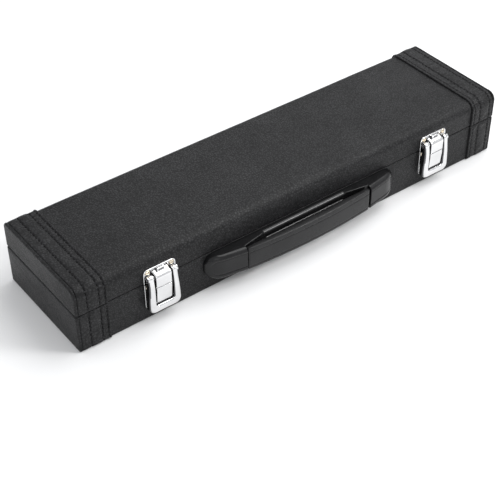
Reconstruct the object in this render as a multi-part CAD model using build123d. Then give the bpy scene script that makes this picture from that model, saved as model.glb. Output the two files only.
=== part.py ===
from build123d import *
import math
import os

# Flute case: a long, flat, hinged case covered in black leatherette.
# Frame: X along the length, -Y the front (latches and handle), +Z up.
# Origin: centre of the flat underside, at the level that the case rests on.

os.makedirs("parts", exist_ok=True)

# ---------------------------------------------------------------- driving dimensions, mm
L = 410.0            # outside length of the body
D = 98.0             # outside depth of the body, without latches and handle
H = 56.0             # outside height of the body between the end bands
Z_PART = 34.0        # height of the parting line
SEAM = 0.2           # open seam between base and lid
T_COVER = 0.8        # leatherette
T_WALL = 3.2         # board
T_LINING = 1.0       # plush
R_BOTTOM = 1.0       # long bottom edges
R_TOP = 8.0          # front top edge of the lid
R_TOP_REAR = 4.5     # rear top edge of the lid
BAND_W = 26.5        # stitched end bands
BAND_T = 1.0         # they stand proud by this

Z_INSERT = 26.0      # top of the moulded insert, under its plush
Z_POCKET = 8.0       # floor of the pockets, on the plush
POCKETS = [          # x0, x1, y0, y1, as the plush leaves them
    (-186.0, 186.0, 5.0, 39.0),      # trough for the body joint, rear
    (-187.0, -48.0, -39.0, -10.0),   # foot joint, front left
    (-6.0, 190.0, -39.0, -10.0),     # head joint, front right
]

X_LATCH = 134.5      # latches, each side of the middle
W_PLATE = 28.0
T_PLATE = 1.0
P_BOSS = 6.5         # face of the raised centre of a latch, ahead of the case
W_BOSS = 12.5
PIVOT_P, PIVOT_Z = 3.6, 40.0     # hasp pivot: ahead of the case front, height
R_HASP_PIN = 1.0
BAR_IN, BAR_OUT = 5.4, 7.5       # the hasp's lower bar, ahead of the case front

X_HINGE = 134.5
HINGE_Y, HINGE_Z = D / 2 + 2.3, Z_PART
R_KNUCKLE, R_HINGE_PIN = 2.2, 1.1
W_LEAF = 30.0
RUN = 0.06           # radial running clearance

XH = -3.2            # middle of the handle
HANDLE_HALF = 93.3
MOUTH = 61.0         # inner ends of the bosses, from the middle of the handle
HZ0, HZ1 = 12.5, 33.6
GZ0, GZ1 = 13.0, 33.0
P_STRIP = 5.2        # backing strip behind the grip
PIV_P = 8.0          # grip end pivots, ahead of the case front
PIV_X = MOUTH + 2.9
MID_X, MID_P = 15.0, 13.5        # pivots each side of the grip's middle link
T_NECK = 3.0
NZ0, NZ1 = 17.0, 29.0            # the necks and the sliding tongue

F = -D / 2           # front face
B = D / 2            # back face


def box(x0, x1, y0, y1, z0, z1):
    return Pos((x0 + x1) / 2, (y0 + y1) / 2, (z0 + z1) / 2) * Box(x1 - x0, y1 - y0, z1 - z0)


def front(x0, x1, p0, p1, z0, z1):
    """A box on the front of the case, p being the distance ahead of its face."""
    return box(x0, x1, F - p1, F - p0, z0, z1)


def prism(x0, x1, hy, z0, z1, rt=0.0, rr=0.0, rb=0.0):
    """A bar along X with rounded long edges: rt at the top front, rr at the top rear, rb below."""
    sk = Rectangle(2 * hy, z1 - z0)
    h = (z1 - z0) / 2
    if rt:
        sk = fillet([v for v in sk.vertices() if v.Y > h - 1e-6 and v.X < 0], rt)
    if rr:
        sk = fillet([v for v in sk.vertices() if v.Y > h - 1e-6 and v.X > hy - 1e-6], rr)
    if rb:
        sk = fillet([v for v in sk.vertices() if v.Y < -h + 1e-6], rb)
    face = Plane.YZ * Pos(0, (z0 + z1) / 2) * sk
    return Pos((x0 + x1) / 2, 0, 0) * extrude(face, (x1 - x0) / 2, both=True)


def cyl_x(x0, x1, y, z, r):
    return Pos((x0 + x1) / 2, y, z) * Rot(0, 90, 0) * Cylinder(r, x1 - x0)


def cyl_y(x, y0, y1, z, r):
    return Pos(x, (y0 + y1) / 2, z) * Rot(90, 0, 0) * Cylinder(r, y1 - y0)


def cyl_z(x, y, z0, z1, r):
    return Pos(x, y, (z0 + z1) / 2) * Cylinder(r, z1 - z0)


def side(points, x0, x1):
    """A polygon of (p, z) points on the front of the case, extruded along X."""
    face = make_face(Polyline(*[(F - p, z) for p, z in points], close=True))
    return Pos((x0 + x1) / 2, 0, 0) * extrude(Plane.YZ * face, (x1 - x0) / 2, both=True)


def plan(points, z0, z1):
    """A polygon of (x, p) points ahead of the case front, extruded along Z."""
    face = make_face(Polyline(*[(x, F - p) for x, p in points], close=True))
    return Pos(0, 0, z0) * extrude(face, z1 - z0)


def softened(part, edges, r):
    """Rounds the edges, with a smaller radius where the first is too large."""
    for k in (1.0, 0.7, 0.45):
        try:
            out = fillet(edges, r * k)
            if out.is_valid and out.volume > 0:
                return out
        except Exception:
            continue
    return part


def rivet(x, y_out, z, y_in, out=-1, r=1.2, r_head=2.2, h_head=0.85):
    """A shank along Y with a low domed head outside. out is -1 on the front, +1 on the back."""
    lo, hi = sorted((y_out, y_in))
    shank = cyl_y(x, lo, hi, z, r)
    radius = (r_head**2 + h_head**2) / (2 * h_head)
    ball = Pos(x, y_out + out * (h_head - radius), z) * Sphere(radius)
    y0, y1 = sorted((y_out, y_out + out * h_head))
    dome = ball & cyl_y(x, y0, y1, z, r_head)
    return shank + dome


nodes = {}
ZB = Z_PART - SEAM / 2    # rim of the base
ZL = Z_PART + SEAM / 2    # rim of the lid
HX = L / 2
IN = T_COVER + T_WALL     # the board's inner face, from outside
XB = HX - BAND_W          # inner edge of the end bands

# ---------------------------------------------------------------- fastener positions
rivets_lid = [(s * X_LATCH + d, 44.4) for s in (-1, 1) for d in (-10.2, 10.2)]
rivets_base = [(s * X_LATCH + d, 30.0) for s in (-1, 1) for d in (-10.2, 10.2)]
rivets_hinge_base = [(s * X_HINGE + d, 27.6) for s in (-1, 1) for d in (-9.5, 9.5)]
rivets_hinge_lid = [(s * X_HINGE + d, 39.6) for s in (-1, 1) for d in (-9.5, 9.5)]
screws = [(XH - 86.0, 20.0), (XH - 30.0, 20.0), (XH + 30.0, 20.0), (XH + 86.0, 20.0)]
R_RIVET = 1.2
R_SCREW = 1.5


def holes_front(points, r, y0=F - 2, y1=F + 6):
    out = None
    for x, z in points:
        c = cyl_y(x, y0, y1, z, r)
        out = c if out is None else out + c
    return out


def holes_back(points, r, y0=B - 6, y1=B + 2):
    return holes_front(points, r, y0, y1)


# ---------------------------------------------------------------- base: board, leatherette, bands
base_out = prism(-HX, HX, D / 2, 0, ZB, rb=R_BOTTOM)
base_mid = prism(-HX + T_COVER, HX - T_COVER, D / 2 - T_COVER, T_COVER, ZB - T_COVER, rb=R_BOTTOM - T_COVER)
base_in = box(-HX + IN, HX - IN, -D / 2 + IN, D / 2 - IN, IN, ZB + 5)
base_holes = holes_front(rivets_base, R_RIVET + 0.05) + holes_back(rivets_hinge_base, R_RIVET + 0.05) \
    + holes_front(screws, R_SCREW + 0.05)
nodes["base_shell"] = base_mid - base_in - base_holes

cover = base_out - base_mid - base_in
cover -= box(-HX - 1, HX + 1, -D, D, -1, 0.25)
cover -= box(-XB, XB, -46.0, 46.0, -1, T_COVER)
cover -= box(-HX - 1, -XB, -D, D, -1, T_COVER) + box(XB, HX + 1, -D, D, -1, T_COVER)
nodes["base_cover"] = cover - base_holes
nodes["base_bottom_sheet"] = box(-XB + 0.1, XB - 0.1, -45.9, 45.9, 0, T_COVER)

band_cut = prism(-HX - 1, HX + 1, D / 2, 0, ZB + 5, rb=R_BOTTOM) & box(-HX - 1, HX + 1, -D, D, T_COVER, 80)
for name, x0, x1 in (("left", -HX, -XB), ("right", XB, HX)):
    nodes["base_band_" + name] = prism(x0, x1, D / 2 + BAND_T, 0, ZB, rb=R_BOTTOM + BAND_T) - band_cut

# ---------------------------------------------------------------- lid: board, leatherette, bands
lid_out = prism(-HX, HX, D / 2, ZL, H, rt=R_TOP, rr=R_TOP_REAR)
lid_mid = prism(-HX + T_COVER, HX - T_COVER, D / 2 - T_COVER, ZL + T_COVER, H - T_COVER, rt=R_TOP - T_COVER, rr=R_TOP_REAR - T_COVER)
lid_in = prism(-HX + IN, HX - IN, D / 2 - IN, ZL - 5, H - IN, rt=R_TOP - IN, rr=R_TOP_REAR - IN)
lid_holes = holes_front(rivets_lid, R_RIVET + 0.05) + holes_back(rivets_hinge_lid, R_RIVET + 0.05)
nodes["lid_shell"] = lid_mid - lid_in - lid_holes
nodes["lid_cover"] = lid_out - lid_mid - lid_in - lid_holes
lid_cut = prism(-HX - 1, HX + 1, D / 2, ZL - 5, H, rt=R_TOP, rr=R_TOP_REAR)
for name, x0, x1 in (("left", -HX, -XB), ("right", XB, HX)):
    nodes["lid_band_" + name] = prism(x0, x1, D / 2 + BAND_T, ZL, H + BAND_T, rt=R_TOP + BAND_T, rr=R_TOP_REAR + BAND_T) - lid_cut

# ---------------------------------------------------------------- inside of the base
ix, iy = HX - IN, D / 2 - IN


def pocket(x0, x1, y0, y1, z0, grow):
    w, d = x1 - x0 + 2 * grow, y1 - y0 + 2 * grow
    sk = RectangleRounded(w, d, 6.0 + grow)
    return Pos((x0 + x1) / 2, (y0 + y1) / 2, z0 - grow) * extrude(sk, 60)


pockets_in = pockets_out = None
for x0, x1, y0, y1 in POCKETS:
    a = pocket(x0, x1, y0, y1, Z_POCKET, 0.0)
    b = pocket(x0, x1, y0, y1, Z_POCKET, T_LINING)
    pockets_in = a if pockets_in is None else pockets_in + a
    pockets_out = b if pockets_out is None else pockets_out + b
insert = box(-ix, ix, -iy, iy, IN, Z_INSERT) - pockets_out
for x, z in screws:
    insert -= cyl_y(x, -iy - 1, -iy + 2.1, z, 3.4)
nodes["base_insert"] = insert
lined = box(-ix, ix, -iy, iy, Z_POCKET - T_LINING, ZB - T_COVER)
lined -= box(-ix + T_LINING, ix - T_LINING, -iy + T_LINING, iy - T_LINING, Z_INSERT + T_LINING, 80)
lined -= pockets_in
lining = lined - (box(-ix - 1, ix + 1, -iy - 1, iy + 1, IN - 1, Z_INSERT) - pockets_out)
nodes["base_lining"] = lining

# A flat ribbon: it comes from under the rear rim, crosses the trough and lies along its floor.
rib_t, rib_w = 0.5, 11.0
rib = [(171.0, 38.2, 27.2), (162.0, 33.0, 27.2), (151.0, 29.5, 22.5), (137.0, 25.5, 13.5), (121.0, 21.0, 8.8), (92.0, 16.0, 8.3)]


def ribbon(points, w, t):
    out = None
    pts = [Vector(*p) for p in points]
    up = Vector(0, 0, 1)
    rows = []
    for i, p in enumerate(pts):
        a = pts[max(i - 1, 0)]
        b = pts[min(i + 1, len(pts) - 1)]
        d = (b - a).normalized()
        s = up.cross(d).normalized()
        n = d.cross(s).normalized()
        rows.append((p + s * (w / 2), p - s * (w / 2), n * t))
    for i in range(len(rows) - 1):
        a0, a1, na = rows[i]
        b0, b1, nb = rows[i + 1]
        low = [a0, a1, b1, b0]
        high = [a0 + na, a1 + na, b1 + nb, b0 + nb]
        faces = []
        for tri in ((0, 1, 2), (0, 2, 3)):
            faces.append(Face(Wire.make_polygon([low[k] for k in tri], close=True)))
            faces.append(Face(Wire.make_polygon([high[k] for k in tri], close=True)))
        for j, k in ((0, 1), (1, 2), (2, 3), (3, 0)):
            faces.append(Face(Wire.make_polygon([low[j], low[k], high[k]], close=True)))
            faces.append(Face(Wire.make_polygon([low[j], high[k], high[j]], close=True)))
        s = Solid(Shell(faces))
        if s.volume < 0:
            s = Solid(Shell([-f for f in faces]))
        out = s if out is None else out + s
    return out


nodes["ribbon_pull"] = ribbon(rib, rib_w, rib_t)

# ---------------------------------------------------------------- inside of the lid
lid_lined = prism(-ix, ix, iy, ZL + T_COVER, H - IN, rt=R_TOP - IN, rr=R_TOP_REAR - IN)
lid_lined -= prism(-ix + T_LINING, ix - T_LINING, iy - T_LINING, ZL - 5, H + 5)
nodes["lid_lining"] = lid_lined - holes_back(rivets_hinge_lid, R_RIVET + 0.05)
pad = box(-ix + 1.4, ix - 1.4, -iy + 1.4, iy - 1.4, 46.4, 51.6)
pad = softened(pad, pad.edges(), 1.8)
nodes["lid_pad"] = pad

# ---------------------------------------------------------------- latches
for name, s in (("left", -1), ("right", 1)):
    c = s * X_LATCH
    hb = W_BOSS / 2

    # lid plate with the upper half of the raised centre, which carries the hasp's pin
    plate = front(c - W_PLATE / 2, c + W_PLATE / 2, 0, T_PLATE, ZL, 46.6)
    plate = softened(plate, [e for e in plate.edges().filter_by(Axis.Y) if e.center().Z > 45], 3.6)
    boss = side([(0.2, ZL), (P_BOSS, ZL), (P_BOSS, 39.6), (5.6, 41.7), (3.6, 43.1), (0.2, 43.7)], c - hb, c + hb)
    boss = softened(boss, [e for e in boss.edges() if e.center().Y < F - 1.6 and e.center().Z > ZL + 0.5], 0.8)
    hollow = side([(-1, ZL - 1), (P_BOSS - 1, ZL - 1), (P_BOSS - 1, 39.2), (4.7, 40.9), (-1, 42.4)], c - hb + 1, c + hb - 1)
    cheeks = front(c - hb, c - hb + 1.8, 0.2, 5.6, 37.6, 42.0) + front(c + hb - 1.8, c + hb, 0.2, 5.6, 37.6, 42.0)
    lug = front(c - 2.6, c + 2.6, 0.5, 2.1, 43.6, 45.3)
    lug = softened(lug, [e for e in lug.edges() if e.center().Y < F - 2], 0.35)
    tongue = front(c - 4.0, c + 4.0, 3.2, 4.3, 30.8, ZL + 2) + front(c - 6.0, c + 6.0, 3.2, 4.3, ZL + 0.6, ZL + 2)
    plate = plate + boss - hollow + cheeks + lug + tongue
    plate -= cyl_x(c - 20, c + 20, F - PIVOT_P, PIVOT_Z, R_HASP_PIN + RUN)
    plate -= holes_front([(c - 10.2, 44.4), (c + 10.2, 44.4)], R_RIVET + 0.05)
    nodes["latch_plate_" + name] = plate

    # base plate with the lower half, open at the top for the tongue
    keeper = front(c - W_PLATE / 2, c + W_PLATE / 2, 0, T_PLATE, 9.6, ZB)
    keeper = softened(keeper, [e for e in keeper.edges().filter_by(Axis.Y) if e.center().Z < 12], 4.5)
    kb = side([(0.2, 16.0), (4.3, 16.0), (5.1, 16.8), (P_BOSS, 27.5), (P_BOSS, ZB), (0.2, ZB)], c - hb, c + hb)
    kb = softened(kb, [e for e in kb.edges() if e.center().Y < F - 1.6 and e.center().Z < ZB - 0.5], 0.8)
    kh = side([(-1, 17.2), (3.9, 17.2), (P_BOSS - 1.1, 27.7), (P_BOSS - 1.1, ZB - 1.2), (-1, ZB - 1.2)], c - hb + 1, c + hb - 1)
    slot = front(c - 4.7, c + 4.7, 2.5, 5.0, 28, ZB + 1)
    keeper = keeper + kb - kh - slot
    keeper -= holes_front([(c - 10.2, 30.0), (c + 10.2, 30.0)], R_RIVET + 0.05)
    nodes["keeper_plate_" + name] = keeper

    # hasp: a pressed U-shaped ring, with an eye at the top of each side bar
    outline = make_face(Polyline((-13.1, 41.6), (-12.7, 34.0), (-13.3, 26.0), (-13.75, 19.0), (-13.75, 8.5),
                                 (13.75, 8.5), (13.75, 19.0), (13.3, 26.0), (12.7, 34.0), (13.1, 41.6), close=True))
    outline = fillet([v for v in outline.vertices() if v.Y < 9], 5.2)
    ring = extrude(Plane.XZ * outline, 5.3)
    ring = Pos(c, F - 2.2, 0) * ring
    window = make_face(Polyline((-7.75, 15.0), (7.75, 15.0), (7.75, 50.0), (-7.75, 50.0), close=True))
    window = fillet([v for v in window.vertices() if v.Y < 16], 2.0)
    ring -= Pos(c, F + 5, 0) * extrude(Plane.XZ * window, 20)
    ring -= front(c - 7.75, c + 7.75, 0, BAR_IN, 5, 15.5)
    flank = side([(2.2, 5.0), (2.2, 37.4), (1.9, 38.6), (5.6, 41.2), (6.3, 38.6), (BAR_OUT, 30.0), (BAR_OUT, 5.0)], c - 20, c + 20)
    ring = ring & flank
    ring = softened(ring, [e for e in ring.edges() if e.center().Y < F - BAR_OUT + 0.4 and e.center().Z < 31], 1.1)
    for d in (-1, 1):
        xa, xb = sorted((c + d * 9.1, c + d * 12.3))
        ring -= front(xa, xb, 1.5, 6.2, 15.5, 35.0)
    for d in (-1, 1):
        xa, xb = sorted((c + d * 7.75, c + d * 13.0))
        ring += cyl_x(xa, xb, F - PIVOT_P, PIVOT_Z, 2.4)
    ring -= cyl_x(c - 20, c + 20, F - PIVOT_P, PIVOT_Z, R_HASP_PIN)
    nodes["hasp_" + name] = ring
    nodes["hasp_pin_" + name] = cyl_x(c - 13.2, c + 13.2, F - PIVOT_P, PIVOT_Z, R_HASP_PIN)


def join(parts):
    return Compound(children=[Part(p.wrapped) if not isinstance(p, (Part, Solid)) else p for p in parts])


nodes["latch_rivets"] = [rivet(x, F - T_PLATE, z, F + IN) for x, z in rivets_lid]
nodes["keeper_rivets"] = [rivet(x, F - T_PLATE, z, F + IN, h_head=0.75) for x, z in rivets_base]

# ---------------------------------------------------------------- rear hinges
for name, s in (("left", -1), ("right", 1)):
    c = s * X_HINGE
    w = W_LEAF / 2
    k = 7.0              # half-length of the middle knuckle
    base_leaf = box(c - w, c + w, B, B + 1.0, 22.0, 31.2)
    base_leaf = softened(base_leaf, [e for e in base_leaf.edges().filter_by(Axis.Y) if e.center().Z < 23], 3.0)
    lid_leaf = box(c - w, c + w, B, B + 1.0, 36.8, 45.4)
    lid_leaf = softened(lid_leaf, [e for e in lid_leaf.edges().filter_by(Axis.Y) if e.center().Z > 45], 3.0)
    for x0, x1 in ((c - w, c - k - 0.1), (c + k + 0.1, c + w)):
        base_leaf += box(x0, x1, B, B + 1.0, 31.0, HINGE_Z) & (
            box(x0, x1, B, B + 1, 31.0, 31.8) + box(x0, x1, B + 0.15, B + 1.0, 31.8, HINGE_Z))
        base_leaf += cyl_x(x0, x1, HINGE_Y, HINGE_Z, R_KNUCKLE)
    lid_leaf += box(c - k, c + k, B + 0.15, B + 1.0, HINGE_Z, 37.0) + cyl_x(c - k, c + k, HINGE_Y, HINGE_Z, R_KNUCKLE)
    base_leaf -= cyl_x(c - 20, c + 20, HINGE_Y, HINGE_Z, R_HINGE_PIN)
    lid_leaf -= cyl_x(c - 20, c + 20, HINGE_Y, HINGE_Z, R_HINGE_PIN + RUN)
    base_leaf -= holes_back([(c - 9.5, 27.6), (c + 9.5, 27.6)], R_RIVET + 0.05)
    lid_leaf -= holes_back([(c - 9.5, 39.6), (c + 9.5, 39.6)], R_RIVET + 0.05)
    nodes["hinge_base_leaf_" + name] = base_leaf
    nodes["hinge_lid_leaf_" + name] = lid_leaf
    nodes["hinge_pin_" + name] = cyl_x(c - w - 0.4, c + w + 0.4, HINGE_Y, HINGE_Z, R_HINGE_PIN)
nodes["hinge_base_rivets"] = [rivet(x, B + 1.0, z, B - IN, out=1, h_head=0.8) for x, z in rivets_hinge_base]
nodes["hinge_lid_rivets"] = [rivet(x, B + 1.0, z, B - IN - T_LINING - 0.25, out=1, h_head=0.8) for x, z in rivets_hinge_lid]

# ---------------------------------------------------------------- handle
half = [(HANDLE_HALF, 0.0), (HANDLE_HALF - 0.6, 3.2), (82.0, 9.7), (MOUTH, 13.5), (MOUTH - 0.1, 9.0), (40.0, P_STRIP)]
pts = [(XH + x, p) for x, p in half] + [(XH - x, p) for x, p in reversed(half)]
hb_plan = plan(pts, HZ0, HZ1)
face = RectangleRounded(2 * HANDLE_HALF, HZ1 - HZ0, 9.4)
hb_face = Pos(XH, F + 2, (HZ0 + HZ1) / 2) * extrude(Plane.XZ * face, 30)
handle = hb_plan & hb_face
# the strip's upper edge slopes back to the case
bevel = side([(P_STRIP + 0.05, 28.0), (P_STRIP + 0.05, 30.6), (2.0, HZ1 + 0.05), (9, HZ1 + 1), (9, 28.0)], XH - 40.0, XH + 40.0)
handle -= bevel
handle = softened(handle, [e for e in handle.edges() if e.center().Y < F - 8.5 and abs(e.center().X - XH) > 63], 1.6)
# ribs along the strip
for z in (15.0, 18.2, 21.4, 24.6, 27.8):
    handle -= front(XH - 38.0, XH + 38.0, P_STRIP - 0.6, P_STRIP + 3, z, z + 1.2)
# right: the socket of the pinned neck; left: the channel of the sliding tongue
handle -= front(XH + MOUTH - 3, XH + PIV_X + 1.9, PIV_P - 1.8, PIV_P + 3.4, NZ0 - 0.4, NZ1 + 0.4)
handle -= front(XH - MOUTH - 16.2, XH - MOUTH + 3, PIV_P - 1.8, PIV_P + 1.8, NZ0 - 0.4, NZ1 + 0.4)
# relief behind the necks
handle -= front(XH + 43.0, XH + MOUTH, PIV_P - 1.8, 20, NZ0 - 0.4, NZ1 + 0.4)
handle -= front(XH - MOUTH, XH - 43.0, PIV_P - 1.8, 20, NZ0 - 0.4, NZ1 + 0.4)
handle -= cyl_z(XH + PIV_X, F - PIV_P, 13.6, 32.0, 0.8)
for (x, z), depth in zip(screws, (6.4, 3.4, 3.4, 6.4)):
    handle -= cyl_y(x, F - depth, F + 1, z, R_SCREW)
nodes["handle_base"] = handle
nodes["handle_screws"] = [
    cyl_y(x, F - depth, F + IN, z, R_SCREW) + cyl_y(x, F + IN, F + IN + 1.8, z, 3.0) for (x, z), depth in zip(screws, (6.4, 3.4, 3.4, 6.4))
]
nodes["grip_pin"] = cyl_z(XH + PIV_X, F - PIV_P, 13.6, 32.0, 0.8)

# The grip is one flexible strap. It is cut into a middle link, two side links and a sliding tongue.
XR_END = PIV_X - 5.15        # right end of the strap's full section
XL_END = MOUTH - 0.4         # left end


def strap(x0, x1):
    outer = ThreePointArc((-MOUTH, F - 13.6), (0, F - 17.0), (MOUTH, F - 13.6))
    inner = ThreePointArc((MOUTH, F - 9.6), (0, F - 10.2), (-MOUTH, F - 9.6))
    sk = make_face([outer, Line(outer @ 1, inner @ 0), inner, Line(inner @ 1, outer @ 0)])
    body = Pos(XH, 0, GZ0) * extrude(sk, GZ1 - GZ0)
    return body & box(XH + x0, XH + x1, F - 30, F, 0, 60)


R_LINK, R_SOCKET = 3.25, 3.6
mid = strap(-MID_X, MID_X) & front(XH - 60, XH + 60, 0, 30, 0, 60)
for s in (-1, 1):
    mid += cyl_z(XH + s * MID_X, F - MID_P, GZ0, GZ1, R_LINK)
nodes["grip_mid"] = mid
right = strap(MID_X, XR_END) - cyl_z(XH + MID_X, F - MID_P, 0, 60, R_SOCKET)
right += front(XH + 49.0, XH + PIV_X, PIV_P - T_NECK / 2, PIV_P + T_NECK / 2 + 0.4, NZ0, NZ1) \
    - front(XH + XR_END, XH + PIV_X + 1, PIV_P + T_NECK / 2, PIV_P + 5, NZ0, NZ1)
right += cyl_z(XH + PIV_X, F - PIV_P, NZ0, NZ1, T_NECK / 2)
right -= cyl_z(XH + PIV_X, F - PIV_P, 0, 60, 0.8 + 0.05)
nodes["grip_right"] = right
left = strap(-XL_END, -MID_X) - cyl_z(XH - MID_X, F - MID_P, 0, 60, R_SOCKET)
left += front(XH - PIV_X, XH - 49.0, PIV_P - T_NECK / 2, PIV_P + T_NECK / 2 + 0.4, NZ0, NZ1) \
    - front(XH - PIV_X - 1, XH - XL_END, PIV_P + T_NECK / 2, PIV_P + 5, NZ0, NZ1)
left += cyl_z(XH - PIV_X, F - PIV_P, NZ0, NZ1, T_NECK / 2)
nodes["grip_left"] = left
slider = front(XH - PIV_X - 12.5, XH - PIV_X, PIV_P - T_NECK / 2, PIV_P + T_NECK / 2, NZ0, NZ1)
slider -= cyl_z(XH - PIV_X, F - PIV_P, 0, 60, T_NECK / 2 + 0.25)
nodes["grip_tongue"] = slider

# ---------------------------------------------------------------- write


def solids_of(shape):
    if isinstance(shape, list):
        out = []
        for s in shape:
            out += solids_of(s)
        return out
    return list(shape.solids())


for name, shape in nodes.items():
    ss = solids_of(shape)
    out = ss[0] if len(ss) == 1 else Compound(children=ss)
    out.label = name
    export_step(out, f"parts/{name}.step")
    print(f"{name:24s} solids {len(ss)}  volume {sum(s.volume for s in ss):.1f}")
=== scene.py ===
import bpy
import bmesh
import math
import numpy as np
from mathutils import Matrix, Vector


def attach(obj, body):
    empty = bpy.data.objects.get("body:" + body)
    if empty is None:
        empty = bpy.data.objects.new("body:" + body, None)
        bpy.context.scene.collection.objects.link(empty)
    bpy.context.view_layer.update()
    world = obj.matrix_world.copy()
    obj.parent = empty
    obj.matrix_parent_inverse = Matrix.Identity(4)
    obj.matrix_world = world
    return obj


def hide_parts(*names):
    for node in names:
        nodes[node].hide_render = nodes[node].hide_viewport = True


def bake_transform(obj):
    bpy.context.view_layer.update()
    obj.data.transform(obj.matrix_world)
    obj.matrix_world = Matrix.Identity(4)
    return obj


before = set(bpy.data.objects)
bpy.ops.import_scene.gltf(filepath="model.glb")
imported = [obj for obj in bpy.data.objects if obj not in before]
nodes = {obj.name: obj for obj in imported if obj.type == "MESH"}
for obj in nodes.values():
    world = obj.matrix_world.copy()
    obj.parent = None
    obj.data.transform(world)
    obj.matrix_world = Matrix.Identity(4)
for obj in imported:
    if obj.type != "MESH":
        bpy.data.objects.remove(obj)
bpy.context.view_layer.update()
scene = bpy.context.scene

# ------------------------------------------------------------------ sizes, mm, in the frame of the part
HX, HY, H = 205.0, 49.0, 56.0
ZB, ZL = 33.7, 34.3
BAND_W, BAND_T = 26.5, 1.0
XB = HX - BAND_W
CAP = 2.3                 # the end panel's leatherette wraps this far round the edge
F = -HY
XH = -3.2                 # middle of the handle
X_LATCH = 134.5
MM = 0.001


# ------------------------------------------------------------------ noise
_r = np.random.default_rng(11)
_perm = np.concatenate([_r.permutation(256)] * 2)
_grad = _r.normal(size=(256, 3))
_grad /= np.linalg.norm(_grad, axis=1)[:, None]


def perlin(x, y, z=0.0):
    x, y, z = np.broadcast_arrays(np.asarray(x, float), np.asarray(y, float), np.asarray(z, float))
    i, j, k = np.floor(x).astype(int), np.floor(y).astype(int), np.floor(z).astype(int)
    fx, fy, fz = x - i, y - j, z - k
    u, v, w = (t * t * t * (t * (t * 6 - 15) + 10) for t in (fx, fy, fz))
    out = 0.0
    for dx in (0, 1):
        for dy in (0, 1):
            for dz in (0, 1):
                h = _perm[(_perm[(_perm[(i + dx) & 255] + j + dy) & 255] + k + dz) & 255]
                g = _grad[h]
                dot = g[..., 0] * (fx - dx) + g[..., 1] * (fy - dy) + g[..., 2] * (fz - dz)
                out = out + dot * (u if dx else 1 - u) * (v if dy else 1 - v) * (w if dz else 1 - w)
    return out


def fbm(x, y, z=0.0, octaves=3):
    out, a = 0.0, 1.0
    for n in range(octaves):
        out = out + a * perlin(np.asarray(x) * 2**n + 17.3 * n, np.asarray(y) * 2**n + 5.1 * n, np.asarray(z) * 2**n)
        a *= 0.5
    return out


def smooth(a, b, x):
    t = np.clip((np.asarray(x, float) - a) / (b - a), 0, 1)
    return t * t * (3 - 2 * t)


def bump(x, c, w):
    """A smooth hump of half-width w round c."""
    t = np.clip(1 - np.abs((np.asarray(x, float) - c) / w), 0, 1)
    return t * t * (3 - 2 * t)


# ------------------------------------------------------------------ meshes
def quads(nu, nv, wu=False, wv=False, off=0, flip=False):
    iu, iv = np.arange(nu if wu else nu - 1), np.arange(nv if wv else nv - 1)
    ju, jv = (iu + 1) % nu, (iv + 1) % nv
    a = iu[:, None] * nv + iv[None, :]
    b = ju[:, None] * nv + iv[None, :]
    c = ju[:, None] * nv + jv[None, :]
    d = iu[:, None] * nv + jv[None, :]
    q = np.stack([a, b, c, d], -1).reshape(-1, 4) + off
    return q[:, ::-1] if flip else q


def grid_normals(P):
    du, dv = np.gradient(P, axis=0), np.gradient(P, axis=1)
    n = np.cross(du, dv)
    return n / np.maximum(np.linalg.norm(n, axis=-1, keepdims=True), 1e-12)


def closed_grid(Po, Pi):
    """A closed mesh between two grids of the same size."""
    nu, nv = Po.shape[:2]
    n = nu * nv
    faces = [quads(nu, nv), quads(nu, nv, off=n, flip=True)]
    idx = np.arange(n).reshape(nu, nv)
    for line in (idx[0, :], idx[-1, ::-1], idx[::-1, 0], idx[:, -1]):
        a, b = line[:-1], line[1:]
        faces.append(np.stack([b, a, a + n, b + n], -1))
    return np.concatenate([Po.reshape(-1, 3), Pi.reshape(-1, 3)]), np.concatenate(faces)


def loft(rings, cap0=True, cap1=True):
    """A closed mesh from a list of rings with equal numbers of points."""
    R = np.array(rings, float)
    nu, nv = R.shape[:2]
    faces = quads(nu, nv, wv=True).tolist()
    if cap0:
        faces.append(list(range(nv))[::-1])
    if cap1:
        faces.append(list(range((nu - 1) * nv, nu * nv)))
    return R.reshape(-1, 3), faces


def make(name, verts, faces, mat, body=None, slot=None, replaces=(), sharp=None, recalc=True):
    me = bpy.data.meshes.new(name)
    f = faces.tolist() if isinstance(faces, np.ndarray) else faces
    me.from_pydata((np.asarray(verts, float) * MM).tolist(), [], f)
    if recalc:
        bm = bmesh.new()
        bm.from_mesh(me)
        bmesh.ops.recalc_face_normals(bm, faces=bm.faces)
        bm.to_mesh(me)
        bm.free()
    me.polygons.foreach_set("use_smooth", np.ones(len(me.polygons), bool))
    if sharp:
        me.set_sharp_from_angle(angle=math.radians(sharp))
    me.update()
    me.materials.append(mat)
    ob = bpy.data.objects.new(name, me)
    scene.collection.objects.link(ob)
    if body:
        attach(ob, body)
    if replaces:
        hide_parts(*replaces)
    return ob


def point_values(ob, name, values, rest=0.5):
    """A value at each point of a mesh, for its material; points past the list get rest."""
    full = np.full(len(ob.data.vertices), rest, np.float32)
    values = np.asarray(values, np.float32).ravel()
    full[:len(values)] = values
    ob.data.attributes.new(name, "FLOAT", "POINT").data.foreach_set("value", full)


def mark_shaded_flanks(ob):
    """Marks the faces that look sideways or down, for painted shade: the chrome gives them a dark colour that stands
    in for the shade in gaps and under parts.
    """
    n = np.zeros(len(ob.data.polygons) * 3, np.float32)
    ob.data.polygons.foreach_get("normal", n)
    n = n.reshape(-1, 3)
    side = ((np.abs(n[:, 0]) > 0.62) | (n[:, 2] < -0.62)).astype(np.float32)
    ob.data.attributes.new("flank_shade", "FLOAT", "FACE").data.foreach_set("value", side)


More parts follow.
